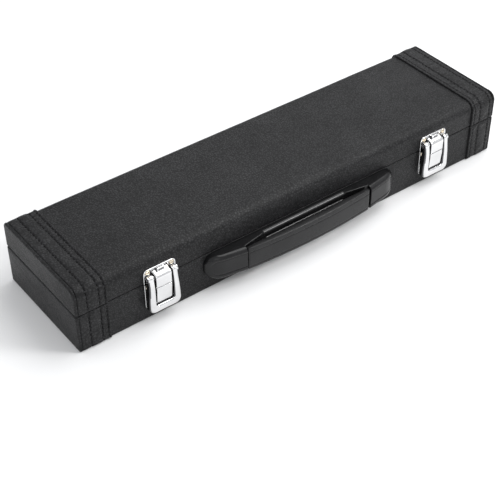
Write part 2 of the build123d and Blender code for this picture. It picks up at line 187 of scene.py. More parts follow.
class Soup:
    """Several small meshes put into one."""

    def __init__(self):
        self.v, self.f, self.n = [], [], 0

    def add(self, verts, faces):
        verts = np.asarray(verts, float)
        self.v.append(verts)
        f = faces.tolist() if isinstance(faces, np.ndarray) else faces
        self.f += [[i + self.n for i in q] for q in f]
        self.n += len(verts)

    def make(self, name, *a, **k):
        return make(name, np.concatenate(self.v), self.f, *a, **k)


def rpath(pts, radii, step=1.2, arc=0.45):
    """An open polyline with rounded corners: points, unit left-hand normals and lengths along."""
    pts = [np.array(p, float) for p in pts]
    out = [pts[0]]

    def run(a, b):
        n = max(1, int(round(np.linalg.norm(b - a) / step)))
        for k in range(1, n + 1):
            out.append(a + (b - a) * k / n)

    last = pts[0]
    for i in range(1, len(pts) - 1):
        p, r = pts[i], radii[i]
        a, b = pts[i - 1] - p, pts[i + 1] - p
        a, b = a / np.linalg.norm(a), b / np.linalg.norm(b)
        half = math.acos(np.clip(a @ b, -1, 1)) / 2
        t = r / math.tan(half)
        s, e = p + a * t, p + b * t
        c = p + (a + b) / np.linalg.norm(a + b) * (r / math.sin(half))
        run(last, s)
        turn = math.pi - 2 * half
        n = max(3, int(math.ceil(turn * r / arc)))
        for k in range(1, n + 1):
            w = k / n
            va, vb = s - c, e - c
            ang = w * turn
            q = (va * math.sin(turn - ang) + vb * math.sin(ang)) / math.sin(turn)
            out.append(c + q)
        last = e
    run(last, pts[-1])
    P = np.array(out)
    d = np.gradient(P, axis=0)
    d /= np.linalg.norm(d, axis=1)[:, None]
    N = np.stack([-d[:, 1], d[:, 0]], -1)
    s = np.concatenate([[0], np.cumsum(np.linalg.norm(np.diff(P, axis=0), axis=1))])
    return P, N, s


def sweep(P, N, xs, h, thick):
    """A sheet swept along X: P and N are in the YZ plane, h the height of each point over it."""
    def grid(off):
        Q = P[:, None, :] + N[:, None, :] * off[..., None]
        return np.concatenate([np.broadcast_to(xs, Q.shape[:2])[..., None], Q], -1)
    return closed_grid(grid(h), grid(np.minimum(h, 0) * 0 - thick))


# ------------------------------------------------------------------ materials
def mat_new(name):
    m = bpy.data.materials.new(name)
    m.use_nodes = True
    nt = m.node_tree
    b = next(n for n in nt.nodes if n.type == "BSDF_PRINCIPLED")
    return m, nt, b


def node(nt, kind, **inputs):
    n = nt.nodes.new(kind)
    for k, v in inputs.items():
        n.inputs[k.replace("_", " ")].default_value = v
    return n


def ramp(nt, src, a, b, lo, hi):
    n = nt.nodes.new("ShaderNodeMapRange")
    n.inputs["From Min"].default_value, n.inputs["From Max"].default_value = a, b
    n.inputs["To Min"].default_value, n.inputs["To Max"].default_value = lo, hi
    nt.links.new(src, n.inputs["Value"])
    return n.outputs["Result"]


def mathn(nt, op, a, b=None):
    n = nt.nodes.new("ShaderNodeMath")
    n.operation = op
    for i, s in enumerate((a, b)):
        if s is None:
            continue
        if isinstance(s, (int, float)):
            n.inputs[i].default_value = s
        else:
            nt.links.new(s, n.inputs[i])
    return n.outputs[0]


def coords(nt, scale=(1, 1, 1), rot=(0, 0, 0)):
    tc = nt.nodes.new("ShaderNodeTexCoord")
    mp = nt.nodes.new("ShaderNodeMapping")
    mp.inputs["Scale"].default_value = scale
    mp.inputs["Rotation"].default_value = rot
    nt.links.new(tc.outputs["Object"], mp.inputs["Vector"])
    return mp.outputs["Vector"]


def noise(nt, vec, scale, detail=2.0, rough=0.5, distortion=0.0):
    n = nt.nodes.new("ShaderNodeTexNoise")
    n.inputs["Scale"].default_value = scale
    n.inputs["Detail"].default_value = detail
    n.inputs["Roughness"].default_value = rough
    n.inputs["Distortion"].default_value = distortion
    nt.links.new(vec, n.inputs["Vector"])
    return n.outputs["Fac"]


def voronoi(nt, vec, scale, feature="F1", rand=1.0):
    n = nt.nodes.new("ShaderNodeTexVoronoi")
    n.feature = feature
    n.inputs["Scale"].default_value = scale
    n.inputs["Randomness"].default_value = rand
    nt.links.new(vec, n.inputs["Vector"])
    return n.outputs["Distance"]


def colour(nt, b, fac, dark, light):
    n = nt.nodes.new("ShaderNodeMix")
    n.data_type = "RGBA"
    nt.links.new(fac, n.inputs["Factor"])
    n.inputs["A"].default_value = (*dark, 1)
    n.inputs["B"].default_value = (*light, 1)
    nt.links.new(n.outputs["Result"], b.inputs["Base Color"])
    return n.outputs["Result"]


def bump_node(nt, height, strength, distance, after=None):
    n = nt.nodes.new("ShaderNodeBump")
    n.inputs["Strength"].default_value = strength
    n.inputs["Distance"].default_value = distance
    nt.links.new(height, n.inputs["Height"])
    if after is not None:
        nt.links.new(after, n.inputs["Normal"])
    return n.outputs["Normal"]


def leatherette(name, dark=(0.0055, 0.0055, 0.0058), light=(0.0305, 0.0305, 0.0320), cell=1.6, depth=0.27, rough=0.46, spec=0.2):
    """Embossed vinyl: irregular pebbles with creases between them, crossed by a faint linen-like line."""
    m, nt, b = mat_new(name)
    v = coords(nt)
    warp = noise(nt, v, 170.0, 3.0, 0.55)
    cells = voronoi(nt, coords(nt, (0.8, 1.0, 1.0), (0.2, 0.1, 0.35)), 1000.0 / cell, "DISTANCE_TO_EDGE")
    pebble = ramp(nt, cells, 0.0, 0.26, 0.0, 1.0)
    fine = noise(nt, v, 1500.0, 3.0, 0.6)
    along = noise(nt, coords(nt, (0.3, 1.3, 1.3)), 900.0, 2.0, 0.5)
    across = noise(nt, coords(nt, (1.3, 0.32, 0.32)), 900.0, 2.0, 0.5)
    linen = mathn(nt, "ADD", mathn(nt, "MULTIPLY", along, 0.6), mathn(nt, "MULTIPLY", across, 0.4))
    height = mathn(nt, "ADD", mathn(nt, "MULTIPLY", pebble, 0.42), mathn(nt, "MULTIPLY", fine, 0.3))
    height = mathn(nt, "ADD", height, mathn(nt, "MULTIPLY", linen, 0.8))
    macro = noise(nt, v, 26.0, 4.0, 0.6)
    n1 = bump_node(nt, warp, 0.35, 0.0010)
    n2 = bump_node(nt, height, 0.85, depth * MM, n1)
    nt.links.new(n2, b.inputs["Normal"])
    mottle = mathn(nt, "MULTIPLY", mathn(nt, "SUBTRACT", noise(nt, v, 430.0, 3.0, 0.6), 0.5), 0.16)
    tint = mathn(nt, "ADD", mathn(nt, "MULTIPLY", macro, 0.25), mathn(nt, "MULTIPLY", mathn(nt, "ADD", height, mottle), 0.75))
    colour(nt, b, ramp(nt, tint, 0.63, 0.95, 0.0, 1.0), dark, light)
    r = mathn(nt, "SUBTRACT", ramp(nt, macro, 0.3, 0.7, rough + 0.07, rough - 0.03), mathn(nt, "MULTIPLY", pebble, 0.07))
    nt.links.new(r, b.inputs["Roughness"])
    b.inputs["Specular IOR Level"].default_value = spec
    return m


def metal(name, base, rough, wear=0.05, ripple=0.25, flank_shade=None):
    """Plated metal. The last argument is painted shade: a dark colour for the faces the mesh marks as flanks, those
    that look sideways or down, standing in for the shade in gaps and under parts.
    """
    m, nt, b = mat_new(name)
    v = coords(nt)
    big = noise(nt, v, 90.0, 3.0, 0.5)
    fine = noise(nt, coords(nt, (1.0, 1.0, 0.2)), 3000.0, 2.0)
    b.inputs["Metallic"].default_value = 1.0
    out = colour(nt, b, ramp(nt, big, 0.35, 0.7, 0.0, 1.0), [c * 0.9 for c in base], base)
    # painted shade: the faces marked as flanks take the dark colour
    if flank_shade:
        at = nt.nodes.new("ShaderNodeAttribute")
        at.attribute_name = "flank_shade"
        mix = nt.nodes.new("ShaderNodeMix")
        mix.data_type = "RGBA"
        nt.links.new(at.outputs["Fac"], mix.inputs["Factor"])
        nt.links.new(out, mix.inputs["A"])
        mix.inputs["B"].default_value = (*flank_shade, 1)
        nt.links.new(mix.outputs["Result"], b.inputs["Base Color"])
    nt.links.new(ramp(nt, fine, 0.3, 0.7, rough, rough + wear), b.inputs["Roughness"])
    n1 = bump_node(nt, big, ripple, 0.0004)
    nt.links.new(bump_node(nt, fine, 0.05, 0.00005, n1), b.inputs["Normal"])
    return m


def plastic(name, dark, light, rough, grain=900.0, depth=0.05, spec=0.5):
    m, nt, b = mat_new(name)
    v = coords(nt)
    fine = voronoi(nt, v, grain)
    soft = noise(nt, v, 60.0, 3.0)
    colour(nt, b, ramp(nt, soft, 0.3, 0.7, 0.0, 1.0), dark, light)
    nt.links.new(ramp(nt, soft, 0.3, 0.7, rough - 0.04, rough + 0.06), b.inputs["Roughness"])
    nt.links.new(bump_node(nt, fine, 0.35, depth * MM), b.inputs["Normal"])
    b.inputs["Specular IOR Level"].default_value = spec
    return m


def plush(name, dark=(0.0016, 0.0016, 0.0018), light=(0.016, 0.016, 0.018), sheen=0.5, deep=None):
    """Short pile, mottled where it is brushed one way or the other. The mesh gives, point by point, a value for the
    material: on the base lining and the lid's pad it carries painted light and painted shade, on the other pieces
    random mottling; deep, when given, is the colour of the painted light.
    """
    m, nt, b = mat_new(name)
    v = coords(nt)
    brushed = noise(nt, v, 48.0, 5.0, 0.66, 0.8)
    pile = noise(nt, v, 1000.0, 3.0, 0.7)
    tuft = noise(nt, v, 300.0, 3.0, 0.65)
    at = nt.nodes.new("ShaderNodeAttribute")
    at.attribute_name = "nap_and_painted_light"
    nap_and_painted_light = at.outputs["Fac"]
    t = mathn(nt, "ADD", mathn(nt, "MULTIPLY", brushed, 0.5), mathn(nt, "ADD", mathn(nt, "MULTIPLY", pile, 0.26), mathn(nt, "MULTIPLY", tuft, 0.24)))
    if deep:
        out = colour(nt, b, ramp(nt, t, 0.38, 0.64, 0.0, 1.0), dark, light)
        # painted light: where the mesh's value is high the pile takes the lighter colour built from deep, standing in
        # for the lit faces of the pockets
        ragged = mathn(nt, "ADD", nap_and_painted_light, ramp(nt, noise(nt, v, 170.0, 4.0, 0.7), 0.3, 0.7, -0.34, 0.34))
        low = ramp(nt, ragged, 0.36, 0.72, 0.0, 1.0)
        mix = nt.nodes.new("ShaderNodeMix")
        mix.data_type = "RGBA"
        nt.links.new(low, mix.inputs["Factor"])
        nt.links.new(out, mix.inputs["A"])
        painted_lit_pile = nt.nodes.new("ShaderNodeMix")
        painted_lit_pile.data_type = "RGBA"
        nt.links.new(ramp(nt, t, 0.41, 0.62, 0.0, 1.0), painted_lit_pile.inputs["Factor"])
        painted_lit_pile.inputs["A"].default_value = (*[c * 0.12 for c in deep], 1)
        painted_lit_pile.inputs["B"].default_value = (*deep, 1)
        nt.links.new(painted_lit_pile.outputs["Result"], mix.inputs["B"])
        nt.links.new(mix.outputs["Result"], b.inputs["Base Color"])
    else:
        # painted light and painted shade: the mesh's value shifts the pile between its dark and light colours
        lay = mathn(nt, "ADD", ramp(nt, nap_and_painted_light, 0.0, 1.0, -0.22, 0.22), t)
        colour(nt, b, ramp(nt, lay, 0.34, 0.74, 0.0, 1.0), dark, light)
    b.inputs["Roughness"].default_value = 0.92
    b.inputs["Specular IOR Level"].default_value = 0.06
    b.inputs["Sheen Weight"].default_value = sheen
    b.inputs["Sheen Roughness"].default_value = 0.36
    b.inputs["Sheen Tint"].default_value = (0.62, 0.62, 0.65, 1)
    n1 = bump_node(nt, tuft, 0.6, 0.0012)
    nt.links.new(bump_node(nt, pile, 0.9, 0.0006, n1), b.inputs["Normal"])
    return m


def satin(name):
    m, nt, b = mat_new(name)
    v = coords(nt)
    weave = nt.nodes.new("ShaderNodeTexWave")
    weave.inputs["Scale"].default_value = 520.0
    weave.inputs["Distortion"].default_value = 0.4
    nt.links.new(coords(nt, (1, 1, 1), (0, 0, 0.6)), weave.inputs["Vector"])
    soft = noise(nt, v, 120.0, 3.0)
    t = mathn(nt, "ADD", mathn(nt, "MULTIPLY", weave.outputs["Fac"], 0.4), mathn(nt, "MULTIPLY", soft, 0.6))
    colour(nt, b, ramp(nt, t, 0.2, 0.8, 0.0, 1.0), (0.011, 0.011, 0.012), (0.03, 0.03, 0.032))
    nt.links.new(ramp(nt, soft, 0.3, 0.7, 0.36, 0.5), b.inputs["Roughness"])
    b.inputs["Sheen Weight"].default_value = 0.35
    b.inputs["Sheen Roughness"].default_value = 0.3
    nt.links.new(bump_node(nt, weave.outputs["Fac"], 0.4, 0.0001), b.inputs["Normal"])
    return m


def fibre(name, dark, light, scale, rough=0.9, depth=0.3):
    m, nt, b = mat_new(name)
    v = coords(nt)
    t = noise(nt, v, scale, 5.0, 0.65)
    colour(nt, b, ramp(nt, t, 0.35, 0.65, 0.0, 1.0), dark, light)
    b.inputs["Roughness"].default_value = rough
    b.inputs["Specular IOR Level"].default_value = 0.2
    nt.links.new(bump_node(nt, t, 0.6, depth * MM), b.inputs["Normal"])
    return m


M_LEATHER = leatherette("black_leatherette")
M_BAND = leatherette("black_band_leatherette", light=(0.0285, 0.0285, 0.0300), cell=1.9, depth=0.26, rough=0.44)
M_THREAD = fibre("black_thread", (0.0008, 0.0008, 0.0009), (0.0042, 0.0042, 0.0045), 2600.0, 0.8, 0.03)
# deep here is the colour of the painted light on the pockets' far walls and floors
M_PLUSH = plush("black_plush", dark=(0.0008, 0.0008, 0.001), light=(0.0045, 0.0045, 0.0052), sheen=0.14, deep=(0.072, 0.071, 0.078))
# the light colour serves both random mottling and the painted sheen on the pad's folds
M_PAD = plush("black_plush_pad", dark=(0.0008, 0.0008, 0.0009), light=(0.062, 0.061, 0.065), sheen=0.34)
M_RIBBON = satin("black_satin_ribbon")
M_PLASTIC = plastic("black_plastic_handle", (0.006, 0.006, 0.0064), (0.010, 0.010, 0.0106), 0.22, spec=0.31)
M_GRIP = plastic("black_plastic_grip", (0.009, 0.009, 0.0094), (0.015, 0.015, 0.0155), 0.27, grain=1300.0, depth=0.05, spec=0.28)
# the chrome's dark second colour is painted shade on its sideways and downward faces
M_CHROME = metal("bright_chrome", (0.83, 0.83, 0.835), 0.07, 0.05, 0.06, flank_shade=(0.13, 0.13, 0.135))
M_BRASSY = metal("brassy_rivet", (0.72, 0.64, 0.51), 0.18, 0.1)
M_HINGE = metal("nickel_hinge", (0.82, 0.82, 0.81), 0.16, 0.1)
M_STEEL = metal("dark_steel", (0.42, 0.42, 0.43), 0.3, 0.12)
M_BOARD = fibre("grey_board", (0.12, 0.11, 0.1), (0.2, 0.185, 0.165), 900.0)
M_FOAM = fibre("black_foam", (0.008, 0.008, 0.009), (0.02, 0.02, 0.021), 1500.0)

BY_SLOT = {
    "leatherette": M_LEATHER, "band_leatherette": M_BAND, "board": M_BOARD, "insert_foam": M_FOAM,
    "plush": M_PLUSH, "ribbon": M_RIBBON, "handle_plastic": M_PLASTIC, "grip_plastic": M_GRIP,
    "chrome": M_CHROME, "brassy": M_BRASSY, "hinge_metal": M_HINGE, "steel": M_STEEL,
}


def paint(name, mat, bevel=None, angle=32):
    """A CAD node with a finish of its own, and its edges broken."""
    o = nodes[name]
    if not o.material_slots:
        o.data.materials.append(mat)
    for s in o.material_slots:
        s.material = mat
    if bevel:
        w = o.modifiers.new("weld", "WELD")
        w.merge_threshold = 2e-6
        b = o.modifiers.new("bevel", "BEVEL")
        b.width = bevel * MM
        b.segments = 2
        b.limit_method = "ANGLE"
        b.angle_limit = math.radians(angle)
        b.harden_normals = False
        b.use_clamp_overlap = True
        s = o.modifiers.new("smooth", "WEIGHTED_NORMAL")
        s.keep_sharp = False
        s.weight = 80


for n in nodes:
    if n.endswith("_shell"):
        paint(n, M_BOARD)
    elif n == "base_insert":
        paint(n, M_FOAM)
paint("base_cover", M_LEATHER)
paint("lid_cover", M_LEATHER)
for n in ("left", "right"):
    paint("latch_plate_" + n, M_CHROME)
    paint("keeper_plate_" + n, M_CHROME)
    paint("hasp_" + n, M_CHROME)
    paint("hasp_pin_" + n, M_CHROME, 0.12)
    paint("hinge_base_leaf_" + n, M_HINGE, 0.14)
    paint("hinge_lid_leaf_" + n, M_HINGE, 0.14)
    paint("hinge_pin_" + n, M_STEEL, 0.15)
paint("latch_rivets", M_BRASSY)
paint("keeper_rivets", M_BRASSY)
paint("hinge_base_rivets", M_HINGE)
paint("hinge_lid_rivets", M_HINGE)
paint("handle_base", M_PLASTIC)
paint("handle_screws", M_STEEL, 0.2)
paint("grip_pin", M_STEEL)

# ------------------------------------------------------------------ the covers between the end bands
LID_PATH = ([(-45.0, ZL), (-49.0, ZL), (-49.0, H), (49.0, H), (49.0, ZL), (45.0, ZL)], [0, 0.8, 7.8, 4.5, 0.8, 0])
BASE_PATH = ([(-45.0, ZB), (-49.0, ZB), (-49.0, 0.25), (49.0, 0.25), (49.0, ZB), (45.0, ZB)], [0, 0.8, 1.0, 1.0, 0.8, 0])


def cover(name, path, up, node_name, body):
    P, N, s = rpath(*path, step=1.3, arc=0.4)
    N = N * up
    total = s[-1]
    edge = smooth(3.0, 12.0, np.minimum(s, total - s))      # the sheet lies tight round the rim
    xs = np.linspace(-XB - 2.0, XB + 2.0, 250)
    X, S = np.meshgrid(xs, s)
    h = 0.16 * fbm(X / 60.0, S / 26.0, 3.0 + up) + 0.05 * perlin(X / 14.0, S / 11.0, 9.0)
    # a slight swell of each panel and a pull beside the bands
    h = h * edge[:, None] + 0.12 * edge[:, None] * smooth(0, 22, XB - np.abs(X))
    flat = P[:, 1] < 1.0
    h[flat] = np.minimum(h[flat], 0.0)
    # the rim's fold is a little full
    rim = np.minimum(s, total - s)
    h += -0.10 * smooth(1.6, 0.0, rim)[:, None]
    v, f = sweep(P, N, xs, h, 0.8)
    return make(name, v, f, M_LEATHER, body, "leatherette", [node_name])


lid_cover = cover("lid_leatherette", LID_PATH, 1, "lid_cover", "lid")
base_cover = cover("base_leatherette", BASE_PATH, -1, "base_cover", "base")


# ------------------------------------------------------------------ end panels, which wrap round the edge
def outline(z_rim, z_far, r_rim, r_far, r_rear, up):
    """The closed section of an end, from the middle of the rim round and back, with outward normals."""
    pts = [(0, z_rim), (-50.0, z_rim), (-50.0, z_far), (50.0, z_far), (50.0, z_rim), (0, z_rim)]
    P, N, s = rpath(pts, [0, r_rim, r_far, r_rear, r_rim, 0], step=1.4, arc=0.6)
    return P[:-1], N[:-1] * up, s[:-1]


def end_panel(name, z_rim, z_far, r_rim, r_far, r_rear, up, side, body):
    P, N, s = outline(z_rim, z_far, r_rim, r_far, r_rear, up)
    zc = (z_rim + z_far) / 2
    on_rim = (np.abs(P[:, 1] - z_rim) < 0.02) & (np.abs(P[:, 0]) < 45.2)
    near_rim = smooth(3.5, 0.3, np.abs(P[:, 1] - z_rim))
    bottom = (np.abs(P[:, 1] - z_far) < 0.6) & (z_far < 1)
    rings = []

    def ring(inset, x, scale=1.0):
        Q = P - N * np.asarray(inset).reshape(-1, 1)
        Q = np.stack([Q[:, 0] * scale, zc + (Q[:, 1] - zc) * scale], -1)
        xx = np.broadcast_to(np.asarray(x, float), len(Q)).copy()
        rings.append((xx, Q))

    r = 1.5
    for k in (0.04, 0.12, 0.2, 0.28, 0.36, 0.44, 0.52, 0.6, 0.68, 0.76, 0.84, 0.9, 0.94):
        ring(r, HX, k)
    ring(r, HX)
    for a in (18, 36, 54, 72, 90):
        a = math.radians(a)
        ring(r * (1 - math.sin(a)), HX - r * (1 - math.cos(a)))
    wrap = np.where(on_rim, 201.1, HX - CAP)
    for w in (0.35, 0.7, 0.9, 1.0):
        drop = 0.0 if w < 0.5 else (0.12 if w < 0.8 else (0.38 if w < 0.95 else 0.8))
        drop = np.where(near_rim > 0.5, drop * 0.2, drop)
        ring(drop, (HX - r) + (wrap - (HX - r)) * w)
    ring(1.0, wrap)
    ring(1.0, HX - 0.95)
    for k in (0.9, 0.5, 0.05):
        ring(1.4, HX - 0.95, k)
    out = []
    for i, (xx, Q) in enumerate(rings):
        if i < 14:
            m = 0.22 * fbm(Q[:, 0] / 22.0, Q[:, 1] / 14.0, 4.0 * side + up) + 0.1 * (1 - (i / 14) ** 2)
            xx = xx + m * smooth(14, 10, i) + 0.05 * perlin(Q[:, 0] / 6.0, Q[:, 1] / 5.0, side)
        elif i < 23:
            m = 0.10 * perlin(s / 7.0, np.full(len(s), i * 0.2), side * 3.0 + up)
            m = np.where(near_rim > 0.3, 0, m)
            m = np.where(bottom, np.minimum(m, 0) * 0, m)
            Q = Q + N * m[:, None]
        out.append(np.concatenate([(side * xx)[:, None], Q], 1))
    v, f = loft(out)
    return make(name, v, f, M_LEATHER, body, "leatherette")


for side, nm in ((-1, "left"), (1, "right")):
    end_panel("lid_end_panel_" + nm, ZL, H + BAND_T, 1.0, 7.2, 4.6, 1, side, "lid")
    end_panel("base_end_panel_" + nm, ZB, 0.0, 1.0, 1.6, 1.6, -1, side, "base")

# ------------------------------------------------------------------ stitched end bands
ROWS = {-1: (10.2, 19.9, 24.9), 1: (6.4, 17.2, 23.6)}      # stitch rows, from the end, by hand as the two bands are
PITCH = 3.9
STITCH = 2.2


def row_at(k, s, side, up):
    """A row wanders a little along its length."""
    return ROWS[side][k] + 0.35 * perlin(s / 38.0, k * 3.7 + side, up * 2.0) * (1.0 if k < 2 else 0.3)


def band_height(e, s, side, up):
    """Height of the padded strip over its nominal face. e is the distance from the end, s the length round."""
    r0, r1, r2 = (row_at(k, s, side, up) for k in range(3))
    h = 0 * e

    def pillow(a, b, top):
        t = np.clip((e - a) / (b - a), 0, 1)
        return top * (4 * t * (1 - t)) ** 0.55

    h = h + pillow(2.4, r0, 0.32) + pillow(r0, r1, 0.62) + pillow(r1, r2, 0.3)
    t = np.clip((e - r2) / (BAND_W + 0.1 - r2), 0, 1)
    h = h + 0.62 * np.sqrt(np.clip(1 - (2 * t - 1) ** 2, 0, 1)) * (t > 0) * (t < 1)
    for k, r in enumerate((r0, r1, r2)):
        ph = (s / PITCH + 0.31 * k) % 1.0
        along = np.abs(ph - 0.5) * PITCH
        held = smooth(STITCH / 2 + 0.75, STITCH / 2 + 0.1, along)
        h = h - (0.08 + 0.44 * held) * np.exp(-((e - r) / 0.62) ** 2)
        # between two stitches the padding rises again
        h = h + 0.36 * (1 - held) * np.exp(-((e - r) / 0.95) ** 2)
        hole = np.exp(-((along - STITCH / 2 - 0.1) / 0.42) ** 2)
        h = h - 0.30 * np.exp(-((e - r) / 0.55) ** 2) * hole
        # small tucks that run away from each stitch
        h = h + 0.07 * np.cos(2 * math.pi * (s / PITCH + 0.31 * k)) * np.exp(-((np.abs(e - r) - 1.3) / 1.1) ** 2)
    # wrinkles, mostly across the strip
    wr = fbm(e / 16.0, s / 4.6, side * 5.0 + up, 3)
    h = h + 0.34 * wr * smooth(2.4, 5.0, e) * smooth(BAND_W, BAND_W - 2.0, e)
    wr = perlin(e / 7.0 + 40, s / 9.0, side * 2.0 + up)
    h = h + 0.36 * wr * smooth(2.4, 5.0, e) * smooth(BAND_W - 1.5, BAND_W - 5.0, e)
    # the cut edge beside the end panel, and the rolled inner edge
    h = h - 0.7 * smooth(3.1, 2.3, e)
    return h


def band(name, path, up, side, body, node_name):
    P, N, s = rpath(*path, step=0.55, arc=0.5)
    N = N * up
    total = s[-1]
    # 0 on the rim, 1 on the outside
    out = smooth(4.6, 7.0, np.minimum(s, total - s))
    low = smooth(1.6, 0.2, P[:, 1]) if up < 0 else 0 * s
    e = np.concatenate([np.arange(CAP - 0.15, BAND_W - 0.2, 0.34), BAND_W + np.array([-0.2, -0.1, -0.03, 0.02, 0.05])])
    E, S = np.meshgrid(e, s)
    h = band_height(E, S, side, up)
    pos, neg = np.maximum(h, 0), np.minimum(h, 0)
    o = out[:, None]
    h = pos * o * (1 - low[:, None]) + neg * (0.25 + 0.75 * o) * (1 - 0.6 * low[:, None])
    # the roll closes on the cover
    drop = np.array([0.0] * (len(e) - 5) + [0.1, 0.3, 0.6, 0.85, 1.0])
    deep = np.where(low > 0.5, 0.28, 1.0) * (0.15 + 0.85 * smooth(3.9, 5.6, np.minimum(s, total - s)))
    h = h * (1 - drop[None, :]) - drop[None, :] * deep[:, None]
    xs = side * (HX - e)

    def grid(off):
        Q = P[:, None, :] + N[:, None, :] * off[..., None]
        return np.concatenate([np.broadcast_to(xs, Q.shape[:2])[..., None], Q], -1)
    under = np.full_like(h, -0.95) * (0.3 + 0.7 * smooth(3.0, 5.6, np.minimum(s, total - s)))[:, None]
    under = np.minimum(under, h - 0.05)
    v, f = closed_grid(grid(h), grid(under))
    ob = make(name, v, f, M_BAND, body, "band_leatherette", [node_name])

    # thread: one capsule for each stitch, dipping into its holes
    soup = Soup()
    a6 = np.arange(6) * math.pi / 3
    for k in range(3):
        first = math.ceil((5.5 / PITCH) + 0.31 * k) - 0.31 * k
        n = int((total - 11.0) / PITCH) - 1
        for i in range(n):
            c = (first + i + 0.5) * PITCH
            if c + 1.6 > total - 5.4:
                break
            ts = np.array([-1.1, -1.02, -0.85, -0.45, 0.0, 0.45, 0.85, 1.02, 1.1]) * STITCH / 2.2
            rad = np.array([0.08, 0.28, 0.42, 0.46, 0.47, 0.46, 0.42, 0.28, 0.08])
            lift = np.array([-0.34, -0.14, 0.06, 0.17, 0.20, 0.17, 0.06, -0.14, -0.34])
            ss = c + ts
            ee = row_at(k, ss, side, up)
            base = band_height(ee, ss, side, up)
            base = np.full_like(base, base.mean())
            p2 = np.stack([np.interp(ss, s, P[:, 0]), np.interp(ss, s, P[:, 1])], -1)
            n2 = np.stack([np.interp(ss, s, N[:, 0]), np.interp(ss, s, N[:, 1])], -1)
            n2 /= np.linalg.norm(n2, axis=1)[:, None]
            lw = np.interp(ss, s, low)
            off = base * (1 - 0.6 * lw) + lift - 0.2 * lw
            # underneath, the thread lies sunk, so the case rests on its flat
            off = off * (1 - lw) + np.minimum(off, -rad) * lw
            rings = []
            for q in range(len(ss)):
                cen = np.array([side * (HX - ee[q]), *(p2[q] + n2[q] * off[q])])
                nn = np.array([0.0, *n2[q]])
                bb = np.array([1.0, 0.0, 0.0])
                rings.append([cen + rad[q] * (nn * math.cos(t) + bb * math.sin(t)) for t in a6])
            soup.add(*loft(rings))
    th = soup.make(name + "_stitches", M_THREAD, body, "band_leatherette")
    return ob, th


LID_BAND = ([(-45.0, ZL), (-50.0, ZL), (-50.0, H + 1), (50.0, H + 1), (50.0, ZL), (45.0, ZL)], [0, 1.0, 8.6, 5.5, 1.0, 0])
BASE_BAND = ([(-45.0, ZB), (-50.0, ZB), (-50.0, 0.0), (50.0, 0.0), (50.0, ZB), (45.0, ZB)], [0, 1.0, 1.9, 1.9, 1.0, 0])
for side, nm in ((-1, "left"), (1, "right")):
    b1, _ = band("lid_end_band_" + nm, LID_BAND, 1, side, "lid", "lid_band_" + nm)
    b2, _ = band("base_end_band_" + nm, BASE_BAND, -1, side, "base", "base_band_" + nm)

# ------------------------------------------------------------------ underside
xs = np.linspace(-XB + 0.15, XB - 0.15, 180)
ys = np.linspace(-45.8, 45.8, 60)
X, Y = np.meshgrid(xs, ys, indexing="ij")
edge = np.minimum(XB - 0.15 - np.abs(X), 45.8 - np.abs(Y))
Z = 0.45 * np.clip(1 - edge / 1.2, 0, 1) ** 2 + 0.12 * np.clip(fbm(X / 50.0, Y / 22.0, 2.0), 0, 1)
v, f = closed_grid(np.stack([X, Y, Z], -1), np.stack([X, Y, 0 * Z + 0.8], -1))
make("bottom_leatherette", v, f, M_LEATHER, "base", "leatherette", ["base_bottom_sheet"])

# ------------------------------------------------------------------ plush over the moulded insert
POCKETS = [(-186.0, 186.0, 5.0, 39.0), (-187.0, -48.0, -39.0, -10.0), (-6.0, 190.0, -39.0, -10.0)]
Z_TOP, Z_FLOOR = 27.0, 8.0


def pocket_distance(X, Y, k, grow=0.0, wavy=True):
    """Signed distance to a pocket's outline, negative inside."""
    x0, x1, y0, y1 = POCKETS[k]
    cx, cy, hx, hy, r = (x0 + x1) / 2, (y0 + y1) / 2, (x1 - x0) / 2, (y1 - y0) / 2, 6.0
    w = 0.0
    if wavy:
        w = 3.0 * perlin(X / 36.0, np.sign(Y - cy) * 3.0 + 5.0 * k, 2.0) + 1.3 * perlin(X / 11.0, Y / 11.0, k + 4.0) + 0.5 * perlin(X / 4.0, Y / 4.0, k + 9.0)
    qx = np.abs(X - cx) - (hx - r)
    qy = np.abs(Y - cy) - (hy - r)
    d = np.hypot(np.maximum(qx, 0), np.maximum(qy, 0)) + np.minimum(np.maximum(qx, qy), 0) - r
    return d + w * (0.6 if wavy else 0) - grow


